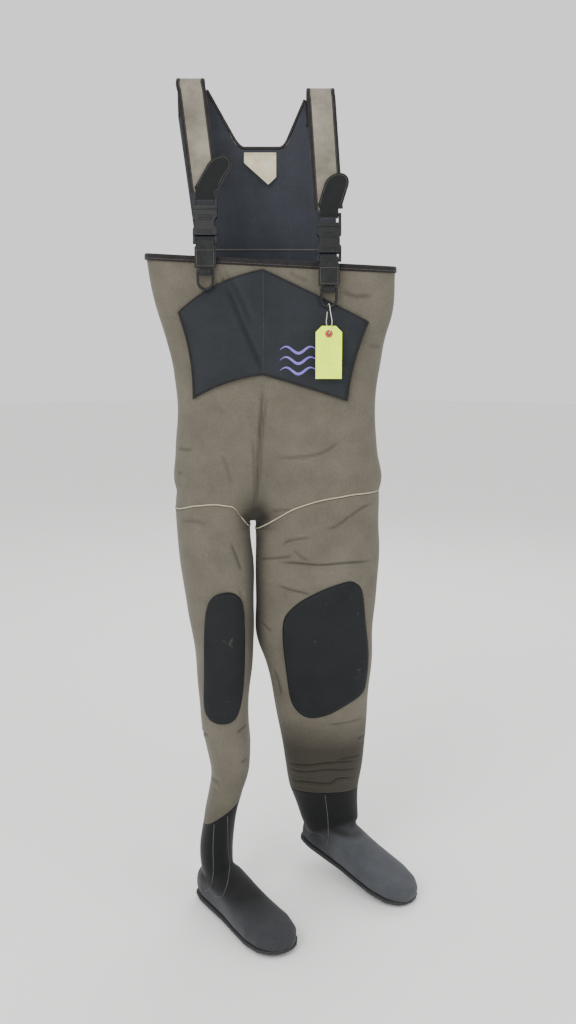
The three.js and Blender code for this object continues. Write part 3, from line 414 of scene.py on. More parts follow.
def seam_height(side, x):
    """Height of the thigh seam at x: it climbs steeply from the crotch, then levels off over the thigh."""
    return np.min([plane_height(plane, x) for plane in THIGH_SEAM[side]], axis=0)


def foot_matrix(side):
    """Foot frame: +X from heel to toe, on the ground line at the back of the heel; in millimetres."""
    heel, heading, droop = FEET[side]
    turn = Matrix.Rotation(math.radians(heading), 4, "Z")
    tilt = Matrix.Rotation(math.radians(droop), 4, "Y")
    return np.array(Matrix.Translation(heel) @ turn @ tilt)


def placed(points, matrix):
    return points @ matrix[:3, :3].T + matrix[:3, 3]


def strap_path(side):
    """Centre line of a strap in millimetres: up the lean of the back, over a 14 mm crest, down the front."""
    x0, crest = CREST[side]
    x1, bar = BAR_AT[side]
    back = np.array([(x0, BACK_TOP_Y + BACK_SLOPE * (d - crest), crest - d) for d in (BACK_TIP_DROP, 45, 30)])
    back_y = BACK_TOP_Y + BACK_SLOPE * (CREST_RADIUS - crest)
    angle = np.linspace(0.1, 0.9, 7) * math.pi
    rise = crest + CREST_RADIUS * np.sin(angle) - CREST_RADIUS - STRAP_THICKNESS / 2
    arc_y = (back_y - CREST_RADIUS) / 2 + (back_y + CREST_RADIUS) / 2 * np.cos(angle)
    arc = np.stack([np.full(7, float(x0)), arc_y, rise], 1)
    lean = abs((x1 - x0) / (crest - bar))
    end = crest - bar - LOOP_OUTER - 2 * SKIN_GAP - lean * STRAP_WIDTH / 2
    drop = np.linspace(CREST_RADIUS + 12, end, 6)
    share = drop / (crest - bar)
    front = np.stack([x0 + (x1 - x0) * share, -CREST_RADIUS - STRAP_SLOPE * (drop - CREST_RADIUS),
                      crest - drop], 1)
    return np.concatenate([back, arc, front])


def back_y(z):
    """Middle plane of the high back panel, which leans back as it falls."""
    return BACK_TOP_Y - BACK_SLOPE * z


def neckline(count, spread=0.0):
    """Edge of the neck opening from the right strap to the left: slope, bend, flat, bend, slope."""
    low = NECK["bottom"] + spread
    t = np.linspace(0, 1, 30)[:, None]

    def slope(side):
        top = np.array([CREST[side][0] - SIGN[side] * (STRAP_WIDTH / 2 + spread),
                        CREST[side][1] - NECK["drop"]])
        corner = np.array([NECK[side] + SIGN[side] * (NECK["corner"] / 4 - spread), low])
        start, end = corner + (top - corner) * 0.2, np.array([NECK[side] - SIGN[side] * 2.0, low])
        bend = start * (1 - t) ** 2 + 2 * corner * t * (1 - t) + end * t ** 2
        return np.concatenate([top[None], bend])

    return resample(np.concatenate([slope("right"), slope("left")[::-1]]), count, smooth=False)


def buckle_matrix(side):
    """Buckle frame: origin at the plug's bar, -Z down the strap's lean; in millimetres."""
    x, z = BAR_AT[side]
    y = -CREST_RADIUS - STRAP_SLOPE * (CREST[side][1] - z - CREST_RADIUS)
    return np.array(Matrix.Translation((x, y, z)) @ Matrix.Rotation(-math.atan(STRAP_SLOPE), 4, "X"))


# ---- meshes ----
def new_object(name, points, faces):
    """A mesh object at the origin from points in millimetres."""
    mesh = bpy.data.meshes.new(name)
    mesh.from_pydata((np.asarray(points).reshape(-1, 3) * MM).tolist(), [], faces)
    mesh.update()
    obj = bpy.data.objects.new(name, mesh)
    bpy.context.scene.collection.objects.link(obj)
    return obj


def grid_faces(rows, cols, wrap_rows=False, wrap_cols=False, caps=False):
    """Four-sided faces of a grid of points, with a many-sided face over each end if asked."""
    a, b = np.meshgrid(np.arange(rows if wrap_rows else rows - 1), np.arange(cols if wrap_cols else cols - 1),
                       indexing="ij")
    c, d = (a + 1) % rows, (b + 1) % cols
    faces = np.stack([a * cols + b, a * cols + d, c * cols + d, c * cols + b], -1).reshape(-1, 4).tolist()
    if caps:
        faces += [list(range(cols))[::-1], [(rows - 1) * cols + k for k in range(cols)]]
    return faces


def grid_object(name, points, **wraps):
    return new_object(name, points, grid_faces(*points.shape[:2], **wraps))


def face_outwards(mesh):
    """Turns a whole skin over if its faces look at its own middle."""
    count = len(mesh.polygons)
    middles, normals, areas = np.empty(count * 3), np.empty(count * 3), np.empty(count)
    mesh.polygons.foreach_get("center", middles)
    mesh.polygons.foreach_get("normal", normals)
    mesh.polygons.foreach_get("area", areas)
    middles = middles.reshape(-1, 3)
    reach = middles - np.average(middles, axis=0, weights=areas)
    if ((reach * normals.reshape(-1, 3)).sum(1) * areas).sum() < 0:
        mesh.flip_normals()


def tidy_mesh(obj, merge=0.0, outward=True):
    """Merges doubles if asked, then turns every face outwards."""
    work = bmesh.new()
    work.from_mesh(obj.data)
    if merge:
        bmesh.ops.remove_doubles(work, verts=work.verts, dist=merge)
    if outward:
        bmesh.ops.recalc_face_normals(work, faces=work.faces)
    work.to_mesh(obj.data)
    work.free()
    obj.data.update()
    if outward:
        face_outwards(obj.data)


def smooth_shade(obj, angle=None):
    obj.data.shade_smooth()
    if angle is not None:
        obj.data.set_sharp_from_angle(angle=math.radians(angle))


def coordinates(obj):
    co = np.empty(len(obj.data.vertices) * 3)
    obj.data.vertices.foreach_get("co", co)
    return co.reshape(-1, 3)


def vertex_normals(obj):
    normals = np.empty(len(obj.data.vertices) * 3)
    obj.data.vertices.foreach_get("normal", normals)
    return normals.reshape(-1, 3)


def set_coordinates(obj, co):
    obj.data.vertices.foreach_set("co", np.ascontiguousarray(co, float).ravel())
    obj.data.update()


def set_attribute(obj, name, values):
    layer = obj.data.attributes.new(name, "FLOAT", "POINT")
    layer.data.foreach_set("value", np.asarray(values, np.float32))


def apply_modifier(obj, kind, **settings):
    modifier = obj.modifiers.new(kind.title(), kind)
    for key, value in settings.items():
        setattr(modifier, key, value)
    graph = bpy.context.evaluated_depsgraph_get()
    mesh = bpy.data.meshes.new_from_object(obj.evaluated_get(graph))
    old = obj.data
    obj.modifiers.clear()
    obj.data = mesh
    mesh.name = obj.name
    bpy.data.meshes.remove(old)


def joined(name, objects):
    """One object from several."""
    work = bmesh.new()
    for obj in objects:
        work.from_mesh(obj.data)
    mesh = bpy.data.meshes.new(name)
    work.to_mesh(mesh)
    work.free()
    for obj in objects:
        bpy.data.objects.remove(obj)
    made = bpy.data.objects.new(name, mesh)
    bpy.context.scene.collection.objects.link(made)
    return made


def fused(name, objects, voxel, rounds):
    """Closed forms grown into one skin: remeshed in voxels, then relaxed."""
    obj = joined(name, objects)
    apply_modifier(obj, "REMESH", mode="VOXEL", voxel_size=voxel * MM)
    apply_modifier(obj, "SMOOTH", factor=0.5, iterations=rounds)
    return obj


def cut_above(obj, plane):
    """Cuts the mesh along a slanting plane and clears what lies above it."""
    work = bmesh.new()
    work.from_mesh(obj.data)
    bmesh.ops.bisect_plane(work, geom=work.verts[:] + work.edges[:] + work.faces[:], dist=1e-6,
                           plane_co=(0, 0, plane[0] * MM), plane_no=(-plane[1], 0, 1), clear_outer=True)
    work.to_mesh(obj.data)
    work.free()


def cut_legs(obj):
    """Clears what lies under each thigh seam, on its own side of the crotch."""
    work = bmesh.new()
    work.from_mesh(obj.data)
    cuts = [((CROTCH_X * MM, 0, 0), (1, 0, 0))]
    cuts += [((0, 0, height * MM), (-slope, 0, 1)) for side in SIDES for height, slope in THIGH_SEAM[side]]
    for point, normal in cuts:
        bmesh.ops.bisect_plane(work, geom=work.verts[:] + work.edges[:] + work.faces[:], dist=1e-6,
                               plane_co=point, plane_no=normal)
    doomed = []
    for face in work.faces:
        middle = face.calc_center_median() / MM
        side = "left" if middle.x > CROTCH_X else "right"
        if middle.z < seam_height(side, middle.x):
            doomed.append(face)
    bmesh.ops.delete(work, geom=doomed, context="FACES")
    work.to_mesh(obj.data)
    work.free()


def thicken(obj, thickness, inner_slot=0):
    """A wall grown inwards from the skin."""
    wall = obj.modifiers.new("Wall", "SOLIDIFY")
    wall.thickness = thickness * MM
    wall.offset = -1
    wall.use_rim = True
    wall.material_offset = inner_slot
    wall.material_offset_rim = inner_slot


def foam_thickness():
    return bpy.context.scene.waders.thickness / MM


def sweep(path, across, up, profile):
    """Points of a profile carried along a path: each is the path's point plus a share of across and of up."""
    profile = np.asarray(profile, float)
    return (path[:, None] + across[:, None] * profile[None, :, :1] + up[:, None] * profile[None, :, 1:])


def round_profile(width, height, corner, steps=3):
    """A rectangle with round corners about the origin."""
    corner = min(corner, width / 2, height / 2)
    angle = np.linspace(0, math.pi / 2, steps + 1)
    points = []
    for quarter, (sx, sy) in enumerate(((1, 1), (-1, 1), (-1, -1), (1, -1))):
        turn = angle + quarter * math.pi / 2
        points.append(np.stack([sx * (width / 2 - corner) + corner * np.cos(turn),
                                sy * (height / 2 - corner) + corner * np.sin(turn)], 1))
    return np.concatenate(points)


def path_frame(path, up, closed=False):
    """Across and up vectors along a path that keep square to it."""
    if closed:
        along = unit(np.roll(path, -1, 0) - np.roll(path, 1, 0))
    else:
        along = unit(np.gradient(path, axis=0))
    across = unit(np.cross(along, up))
    return along, across, unit(np.cross(across, along))


def bead(name, path, up, width, height, closed=False):
    """A low welt with rounded edges along a path."""
    _, across, lift = path_frame(path, up, closed)
    points = sweep(path, across, lift, round_profile(width, height, height / 2))
    obj = grid_object(name, points, wrap_cols=True, wrap_rows=closed, caps=not closed)
    tidy_mesh(obj)
    return obj


def facing(path, way=FORWARD):
    """The same direction for every point of a path."""
    return np.tile(way, (len(path), 1))


def stitch_row(name, path, up, pitch, length, thread):
    """Stitches along a path: one six-sided lens of thread, repeated at an even pitch."""
    count = max(int(path_length(path) / pitch), 2)
    at = resample(np.concatenate([path, up], 1), count, smooth=False)
    spots, ups = at[:, :3], unit(at[:, 3:])
    along, across, normal = path_frame(spots, ups)
    ring = np.linspace(0, 2 * math.pi, 6, endpoint=False)
    rings = [(-0.5, 0.35), (-0.25, 1), (0.25, 1), (0.5, 0.35)]
    lens = np.array([(a * length, r * thread * math.cos(t), r * thread * math.sin(t))
                     for a, r in rings for t in ring])
    points = (spots[:, None] + along[:, None] * lens[None, :, :1] + across[:, None] * lens[None, :, 1:2]
              + normal[:, None] * lens[None, :, 2:])
    pattern = grid_faces(len(rings), len(ring), wrap_cols=True, caps=True)
    faces = [[corner + start for corner in face]
             for start in range(0, count * len(lens), len(lens)) for face in pattern]
    obj = new_object(name, points, faces)
    smooth_shade(obj)
    return obj


def drop_on(obj, flat, side=-1):
    """Depths of a mesh's front (or back) skin at flat (x, z) points, from its nearest vertices."""
    co = coordinates(obj) / MM
    ahead = vertex_normals(obj)[:, 1] * side > 0.15
    shown = co[ahead]
    gap = ((flat[:, None, 0] - shown[None, :, 0]) ** 2 + (flat[:, None, 1] - shown[None, :, 2]) ** 2)
    near = np.argpartition(gap, 3, axis=1)[:, :3]
    weight = 1 / (np.take_along_axis(gap, near, 1) + 0.5)
    return (shown[near, 1] * weight).sum(1) / weight.sum(1)


def cad_copy(name, node, merge=1e-5):
    """A merged copy of a CAD node's mesh whose flat faces are whole again, ready for a bevel."""
    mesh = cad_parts[node].data.copy()
    mesh.name = name
    mesh.materials.clear()
    work = bmesh.new()
    work.from_mesh(mesh)
    bmesh.ops.remove_doubles(work, verts=work.verts, dist=merge)
    bmesh.ops.dissolve_limit(work, angle_limit=math.radians(1), verts=work.verts, edges=work.edges)
    work.to_mesh(mesh)
    work.free()
    obj = bpy.data.objects.new(name, mesh)
    bpy.context.scene.collection.objects.link(obj)
    return obj


def soften_edges(obj, width, segments=2, angle=28):
    edge = obj.modifiers.new("Edges", "BEVEL")
    edge.width = width * MM
    edge.segments = segments
    edge.limit_method = "ANGLE"
    edge.angle_limit = math.radians(angle)
    edge.harden_normals = False
    smooth_shade(obj, 40)


# ---- materials ----
def add_node(tree, kind, inputs=None, **settings):
    """Adds one node; inputs maps a socket's name or number to a value or to another node's output."""
    node = tree.nodes.new(kind)
    for key, value in settings.items():
        setattr(node, key, value)
    for key, value in (inputs or {}).items():
        if isinstance(value, bpy.types.NodeSocket):
            tree.links.new(value, node.inputs[key])
        else:
            node.inputs[key].default_value = value
    return node


def start_material(name, roughness, sheen=0.0, specular=0.5):
    material = bpy.data.materials.new(name)
    material.use_nodes = True
    tree = material.node_tree
    shader = tree.nodes["Principled BSDF"]
    shader.inputs["Roughness"].default_value = roughness
    shader.inputs["Specular IOR Level"].default_value = specular
    shader.inputs["Sheen Weight"].default_value = sheen
    shader.inputs["Sheen Roughness"].default_value = 0.5
    return material, tree, shader


def finish_colour(name):
    return linear(COLOURS[name])


def noise(tree, place, size, **inputs):
    """Noise whose features are about size millimetres across."""
    return add_node(tree, "ShaderNodeTexNoise", {"Vector": place, "Scale": 1000 / size,
                                                 **inputs}).outputs["Fac"]


def attribute(tree, name):
    return add_node(tree, "ShaderNodeAttribute", attribute_name=name).outputs["Fac"]


def remap(tree, value, low, high, to_low=0.0, to_high=1.0):
    return add_node(tree, "ShaderNodeMapRange", {"Value": value, "From Min": low, "From Max": high,
                                                 "To Min": to_low, "To Max": to_high}).outputs[0]


def mixed(tree, share, first, second, blend="MIX"):
    return add_node(tree, "ShaderNodeMix", {0: share, 6: first, 7: second}, data_type="RGBA",
                    blend_type=blend).outputs[2]


def scaled(tree, colour, level):
    """A colour times a grey level, which may be over 1."""
    grey = add_node(tree, "ShaderNodeCombineColor", {0: level, 1: level, 2: level}).outputs[0]
    return mixed(tree, 1.0, colour, grey, "MULTIPLY")


def bumped(tree, height, depth, strength, normal=None):
    """A normal bent by a height of so many millimetres, on top of another normal if there is one."""
    inputs = {"Height": height, "Distance": depth * MM, "Strength": strength}
    if normal is not None:
        inputs["Normal"] = normal
    return add_node(tree, "ShaderNodeBump", inputs).outputs[0]


def cloth_colour(tree, place, face, shade, blotch, worn, tone):
    """Slow blotches of two tones, fine fibres, painted shade in fold valleys with a painted highlight on
    their banks, and scuffs.
    """
    patches = remap(tree, noise(tree, place, blotch, Detail=5.0, Roughness=0.6), 0.32, 0.68)
    colour = mixed(tree, patches, finish_colour(face), finish_colour(shade))
    # Darkening by the skin's tone attribute, which is partly painted shade
    if tone:
        colour = mixed(tree, attribute(tree, "tone"), colour, finish_colour(tone))
    colour = scaled(tree, colour, remap(tree, noise(tree, place, 2.2, Detail=3.0), 0.3, 0.7, 0.86, 1.12))
    # Painted shade in the crease valleys, then a painted highlight on their banks
    fold = attribute(tree, "fold")
    colour = mixed(tree, remap(tree, fold, 0.0, 1.0, 0.0, 0.62), colour, finish_colour("fold_shade"))
    colour = scaled(tree, colour, remap(tree, fold, 0.0, -0.25, 1.0, 1.32))
    if worn:
        scuffs = noise(tree, place, 26, Detail=8.0, Roughness=0.75)
        colour = mixed(tree, remap(tree, scuffs, 0.62, 0.78, 0.0, worn), colour, finish_colour("scuff"))
    return colour


def cloth(name, face, shade, roughness, grain=1.6, grain_depth=0.25, blotch=60, sheen=0.1, worn=0.0,
          tone=None,
          ribs=0.0, rib_depth=0.3):
    """Fabric: a blotched colour over knit grains, slow dents and optional ribs; sizes in millimetres."""
    material, tree, shader = start_material(name, roughness, sheen, 0.25)
    place = add_node(tree, "ShaderNodeTexCoord").outputs["Object"]
    colour = cloth_colour(tree, place, face, shade, blotch, worn, tone)
    tree.links.new(colour, shader.inputs["Base Color"])
    knit = add_node(tree, "ShaderNodeTexVoronoi",
                    {"Vector": place, "Scale": 1000 / grain}).outputs["Distance"]
    normal = bumped(tree, knit, grain_depth, 0.6)
    normal = bumped(tree, noise(tree, place, 22, Detail=3.0), 1.2, 0.5, normal)
    if ribs:
        for direction in ("X", "Z"):
            wave = add_node(tree, "ShaderNodeTexWave", {"Vector": place, "Scale": 1000 / ribs / 20 * math.pi},
                            bands_direction=direction).outputs["Fac"]
            normal = bumped(tree, wave, rib_depth, 0.7, normal)
    tree.links.new(normal, shader.inputs["Normal"])
    return material


def moulded(name, face, roughness, grain=0.9, grain_depth=0.05, scratch=0.0, specular=0.5, glow=0.0):
    """Moulded plastic, rubber or card: an even colour, faint clouding, fine texture and light scratches."""
    material, tree, shader = start_material(name, roughness, 0.0, specular)
    place = add_node(tree, "ShaderNodeTexCoord").outputs["Object"]
    cloud = noise(tree, place, 18, Detail=4.0)
    colour = scaled(tree, finish_colour(face), remap(tree, cloud, 0.3, 0.7, 0.9, 1.12))
    if scratch:
        streak = add_node(tree, "ShaderNodeMapping", {"Vector": place, "Scale": (1.0, 1.0, 0.12)}).outputs[0]
        lines = noise(tree, streak, 1.5, Detail=2.0)
        colour = mixed(tree, remap(tree, lines, 0.64, 0.72, 0.0, scratch), colour, finish_colour("scratch"))
    tree.links.new(colour, shader.inputs["Base Color"])
    # Painted glow: emission in the face colour, at the strength glow
    shader.inputs["Emission Color"].default_value = finish_colour(face)
    shader.inputs["Emission Strength"].default_value = glow
    rough = remap(tree, cloud, 0.0, 1.0, roughness - 0.08, roughness + 0.1)
    tree.links.new(rough, shader.inputs["Roughness"])
    normal = bumped(tree, noise(tree, place, grain, Detail=2.0), grain_depth, 0.6)
    tree.links.new(normal, shader.inputs["Normal"])
    return material


def plain(name, face, roughness):
    material, _, shader = start_material(name, roughness, specular=0.1)
    shader.inputs["Base Color"].default_value = finish_colour(face)
    return material


MATERIALS = {}


def make_materials():
    """Every finish of the waders, named for the real material."""
    MATERIALS.update({
        # Knitted nylon face on 5 mm foam rubber: matt, blotched by wear, darker at the shins, with painted
        # shade at the crotch and between the legs
        "taupe": cloth("nylon_faced_neoprene_taupe", "taupe", "taupe_worn", 0.88, worn=0.1,
                       tone="taupe_shin_dark_and_shade"),
        # The same cloth on the straps, in a lighter colour
        "strap": cloth("nylon_faced_neoprene_strap", "strap", "taupe", 0.88, grain=1.4),
        # Brushed jersey inside the suit: soft, dark blue grey
        "slate": cloth("brushed_jersey_lining", "slate", "slate_dark", 0.95, sheen=0.25, blotch=80),
        # Charcoal nylon-faced neoprene of the hand pocket
        "pocket": cloth("nylon_faced_neoprene_charcoal", "pocket", "pocket_dark", 0.9, blotch=70, worn=0.05),
        # Rubber-coated knee patch: smooth with a fine leathery skin and chalky scuffs
        "pad": cloth("rubberised_knee_patch", "pad", "pad_light", 0.72, grain=2.2, grain_depth=0.12,
                     sheen=0.0, worn=0.3, blotch=50),
        # Dense knitted neoprene of the socks, with painted shade making it near black at the shaft and heel
        # and a paler painted upper on the foot
        "sock": cloth("dense_knit_neoprene_sock", "sock", "sock_worn", 0.86, blotch=45, worn=0.08,
                      tone="sock_dark"),
        # Moulded outsole rubber, scuffed along the foot
        "sole": moulded("moulded_rubber_sole", "sole", 0.75, grain=1.4, grain_depth=0.2, scratch=0.3),
        # Ribbed polyester edging
        "binding": cloth("ribbed_polyester_binding", "binding", "binding_light", 0.8, grain=1.0, ribs=1.6,
                         blotch=20, sheen=0.05),
        # 38 mm woven polyester webbing, closely ribbed
        "webbing": cloth("woven_polyester_webbing", "webbing", "webbing_light", 0.75, grain=1.0, ribs=1.8,
                         rib_depth=0.45, blotch=15, sheen=0.05),
        # Loop pile of the fastening tongue: short, deep black, fuzzy
        "pile": cloth("nylon_loop_pile", "pile", "pile_light", 0.95, grain=1.1, grain_depth=0.7, blotch=14,
                      sheen=0.3),
        # Hard black acetal of the buckles and rings, with a low gloss
        "plastic": moulded("moulded_acetal_plastic", "plastic", 0.42, scratch=0.12, specular=0.3),
        # Satin label, yellowed in patches
        "label": cloth("woven_satin_label", "label", "label_warm", 0.6, grain=0.8, grain_depth=0.08,
                       blotch=30,
                       ribs=1.0, rib_depth=0.05),
        # Fluorescent yellow card with a painted glow: an emission in its own colour that shines whatever the
        # lamps
        "card": moulded("coated_fluorescent_card", "card", 0.55, grain=0.7, grain_depth=0.05, glow=0.3),
        "eyelet": moulded("pressed_fibre_eyelet", "eyelet", 0.7, grain=0.6, grain_depth=0.1),
        "cotton": cloth("twisted_cotton_string", "cotton", "cotton_dark", 0.85, grain=0.7, blotch=8),
        "seam": cloth("bonded_seam_tape_cream", "seam", "seam_dark", 0.8, grain=1.0, blotch=12),
        "thread": cloth("grey_polyester_thread", "thread", "thread_pale", 0.6, grain=0.6, blotch=9),
        "dark_thread": cloth("black_polyester_thread", "dark_thread", "dark_thread_pale", 0.6, grain=0.6,
                             blotch=9),
        "motif": cloth("screen_print_ink_purple", "motif", "motif_pale", 0.6, grain=1.2, grain_depth=0.1,
                       blotch=12),
        "sock_seam": cloth("glued_and_blindstitched_seam", "sock_seam", "sock_seam_dark", 0.8, grain=0.8,
                           blotch=10),
        "pocket_seam": cloth("bonded_pocket_seam", "pocket_seam", "pocket_seam_dark", 0.8, grain=0.8,
                             blotch=10),
        "floor": plain("painted_studio_floor", "floor", 0.9),
    })


def dress(obj, *names):
    obj.data.materials.clear()
    for name in names:
        obj.data.materials.append(MATERIALS[name])


def settle(obj, finish, body, replaces=(), shade=True):
    """Gives a finished piece its material, its body when that is a name, and hides the CAD nodes that it
    stands for.
    """
    dress(obj, *([finish] if isinstance(finish, str) else finish))
    if shade:
        smooth_shade(obj)
    if isinstance(body, str):
        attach(obj, body)
    else:
        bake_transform(obj)
    if replaces:
        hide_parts(*replaces)
    return obj


def knee_blend(side):
    """The stretch of leg at the knee: from the bottom of the thigh to the top of the shin."""
    x, y = levels_at(LEGS[side], np.array([(KNEE_TOP + KNEE_BOTTOM) / 2.0]))[0][1:3] * MM
    return ("root", f"shin_{side}", (x, y, KNEE_TOP * MM), (x, y, KNEE_BOTTOM * MM))


def strap_blend(side):
    """The front run of a strap, down to its buckle."""
    path = strap_path(side) * MM
    return ("root", f"plug_{side}", tuple(path[11]), tuple(path[-1]))


# ---- stage, camera and string ----
def build_camera(context):
    data = bpy.data.cameras.new("Camera")
    data.sensor_fit = "VERTICAL"
    data.sensor_height = SENSOR_HEIGHT
    data.lens = SENSOR_HEIGHT * FOCAL_PER_HEIGHT
    camera = bpy.data.objects.new("Camera", data)
    camera.location = CAMERA_AT
    camera.rotation_euler = (math.radians(90 - CAMERA_PITCH), 0, 0)
    context.scene.collection.objects.link(camera)
    context.scene.camera = camera


def string_route():
    """The tag's string in metres: up from the tag's hole, round the ring's bow and back to the hole."""
    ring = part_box("d_ring_left")
    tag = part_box("shop_tag")
    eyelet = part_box("tag_eyelet")
    x = (ring[0].x + ring[1].x) / 2 / MM
    y = (ring[0].y + ring[1].y) / 2 / MM
    z = ring[0].z / MM + WIRE / 2
    hx, hz = (eyelet[0].x + eyelet[1].x) / 2 / MM, (eyelet[0].z + eyelet[1].z) / 2 / MM
    hy = tag[0].y / MM
    wrap = WIRE * math.sqrt(0.5) + STRING_DIAMETER / 2 + STRING_PLAY
    turn = wrap * math.sqrt(0.5)
    return np.array([
        (hx - 0.4, hy + 0.4, hz - 0.4), (x - 1.6, hy + 2.6, hz + 3), (x - 4.6, hy + 2.8, hz + 20),
        (x - 4.2, hy + 2.8, z - 20), (x - 2.8, y + wrap - 2.4, z - 9), (x - 1.8, y + wrap, z - 2),
        (x - 1, y + turn, z + turn), (x, y, z + wrap), (x + 1, y - turn, z + turn),
        (x + 1.8, y - wrap, z - 2),
        (x + 2.8, y - wrap - 1.5, z - 9), (x + 4.6, hy - 1.5, z - 20), (x + 5.4, hy - 2.6, hz + 20),
        (x + 2.6, hy - 3, hz + 6), (hx, hy - 1.8, hz - 0.6),
    ])


def build_string():
    """Cotton string as one open curve from the tag's hole round the ring and back."""
    points = resample(string_route(), 90) * MM
    curve = bpy.data.curves.new("tag_string_cord", "CURVE")
    curve.dimensions = "3D"
    curve.bevel_depth = STRING_DIAMETER / 2 * MM
    curve.bevel_resolution = 3
    curve.use_fill_caps = True
    line = curve.splines.new("POLY")
    line.points.add(len(points) - 1)
    line.points.foreach_set("co", np.concatenate([points, np.ones((len(points), 1))], 1).ravel())
    obj = bpy.data.objects.new("tag_string_cord", curve)
    bpy.context.scene.collection.objects.link(obj)
    settle(obj, "cotton", "tag", ["tag_string"], shade=False)


def build_stage(context):
    """A wide pale floor a few millimetres under the lowest sole, soft lights and a pale surround."""
    floor_z = CAD_BOUNDS[0][2] / MM - FLOOR_GAP
    angle = np.linspace(0, 2 * math.pi, 49)[:-1]
    radius = np.array([0.0, 800, 2000, 4500, 9000])
    points = np.stack([radius[:, None] * np.cos(angle), radius[:, None] * np.sin(angle),
                       np.full((len(radius), len(angle)), floor_z)], -1)
    floor = grid_object("studio_floor", points, wrap_cols=True)
    tidy_mesh(floor, merge=1e-6, outward=False)
    dress(floor, "floor")
    for name, place, size, power, aim in (
        ("key", (-1.3, -2.6, 1.3), 1.6, 60, (0, 0, -0.7)),
        ("fill", (2.1, -1.9, 0.2), 1.8, 16, (0, 0, -0.8)),
        ("low", (-0.6, -2.4, -1.1), 1.4, 10, (0, 0, -1.2)),
        ("rear", (0.6, 2.4, 0.9), 1.8, 38, (0, 0, -0.7)),
    ):
        light = bpy.data.lights.new(name, "AREA")
        light.size = size
        light.energy = power
        lamp = bpy.data.objects.new(name, light)
        lamp.location = place
        lamp.visible_camera = False
        lamp.rotation_euler = (Vector(aim) - Vector(place)).to_track_quat("-Z", "Y").to_euler()
        context.scene.collection.objects.link(lamp)
    world = bpy.data.worlds.new("pale_surround")
    world.use_nodes = True
    ground = world.node_tree.nodes["Background"]
    ground.inputs["Color"].default_value = finish_colour("surround")
    ground.inputs["Strength"].default_value = 1.15
    context.scene.world = world


# ---- suit ----
def creased(obj, folds, guard, tone=None, sharp=1.0):
    """Moves a skin along its normals by its creases and slow hollows; guard fades both out at cut edges."""
    co = coordinates(obj) / MM
    normals = vertex_normals(obj)
    front = np.clip(-normals[:, 1] * 2.5 + 0.4, 0, 1)
    back = np.clip(normals[:, 1] * 2.5 + 0.4, 0, 1)
    depth, dark = folds_on(co, front, folds, sharp)
    rear_depth, rear_dark = folds_on(co, back, BACK_FOLDS)
    fade = guard(co)
    shift = ((depth + rear_depth) * (0.3 + 0.7 * fade) + 0.9 * unevenness(co) * fade)
    set_coordinates(obj, (co + normals * shift[:, None]) * MM)
    # Painted shade of the creases in front and behind, with a painted highlight on their banks
    set_attribute(obj, "fold", dark + 0.45 * rear_dark)
    if tone is not None:
        set_attribute(obj, "tone", tone(co))


def suit_tone(co):
    """Darker towards the shins and down the front's middle, with painted shade inside the crotch and between
    the legs, from 0 to 1.
    """
    x, y, z = co.T
    shin = np.where(x > 30, 0.85 * np.clip((-1205 - z) / 75, 0, 1), 0.35 * np.clip((-1240 - z) / 130, 0, 1))
    # Painted shade at the front of the crotch, and below it on the legs' inner sides where they face each
    # other
    crotch = np.exp(-(((x + 2) / 26) ** 2 + ((z + 800) / 34) ** 2)) * np.clip(-y / 30, 0, 1)
    centre = np.exp(-((x - 4) / 34) ** 2) * np.clip((-640 - z) / 140, 0, 1) * (z > -830) * 0.3
    inner = np.exp(-((x + 4) / 16) ** 2) * np.clip((-820 - z) / 30, 0, 1) * np.clip((z + 1180) / 60, 0,
                                                                                    1) * 0.9
    return np.clip(shin + 0.9 * crotch + centre + inner, 0, 1)


def build_body():
    """Trunk of the suit: torso and upper legs fused into one skin, cut at the rim and the thigh seams."""
    angle = np.linspace(0, 2 * math.pi, 120, endpoint=False)[None]
    z = np.linspace(RIM_Z + 22, TORSO[-1, 0], 90)[:, None]
    skin = torso_points(np.minimum(z, RIM_Z), angle)
    skin[..., 2] += np.maximum(z - RIM_Z, 0)
    parts = [grid_object("torso", skin, wrap_cols=True, caps=True)]
    for side in SIDES:
        z = np.linspace(LEGS[side][0, 0], -900, 40)[:, None]
        parts.append(grid_object("hip", leg_points(side, z, angle), wrap_cols=True, caps=True))
    for part in parts:
        tidy_mesh(part)
    body = fused("suit_body", parts, SUIT_VOXEL, SUIT_ROUNDS)
    cut_above(body, (RIM_Z - RIM_SLOPE * CHEST_CENTRE_X, RIM_SLOPE))
    cut_legs(body)

    def guard(co):
        rim = np.clip((RIM_Z + RIM_SLOPE * (co[:, 0] - CHEST_CENTRE_X) - co[:, 2]) / 30, 0, 1)
        seam = [np.clip((co[:, 2] - seam_height(s, co[:, 0])) / 25, 0, 1) for s in SIDES]
        return rim * np.where(co[:, 0] > CROTCH_X, *seam)

    tidy_mesh(body)
    creased(body, BODY_FOLDS, guard, suit_tone, BODY_SHARPNESS)
    thicken(body, foam_thickness(), 1)
    settle(body, ["taupe", "slate"], "root",
           ["body_panel_left", "body_panel_right", "seam_tape_front", "seam_tape_back"])
    return body


def leg_grid(side, rows, cols, offset=0.0):
    """Leg skin from its slanting thigh seam to its slanting cuff: height runs between the two planes."""
    share = np.linspace(0, 1, rows)[:, None]
    angle = np.linspace(0, 2 * math.pi, cols, endpoint=False)[None] + np.zeros((rows, 1))
    x = np.full((rows, cols), levels_at(LEGS[side], np.array([-900.0]))[0, 1])
    for _ in range(4):
        z = seam_height(side, x) * (1 - share) + plane_height(CUFF[side], x) * share
        points = leg_points(side, z, angle, offset)
        x = points[..., 0]
    return points


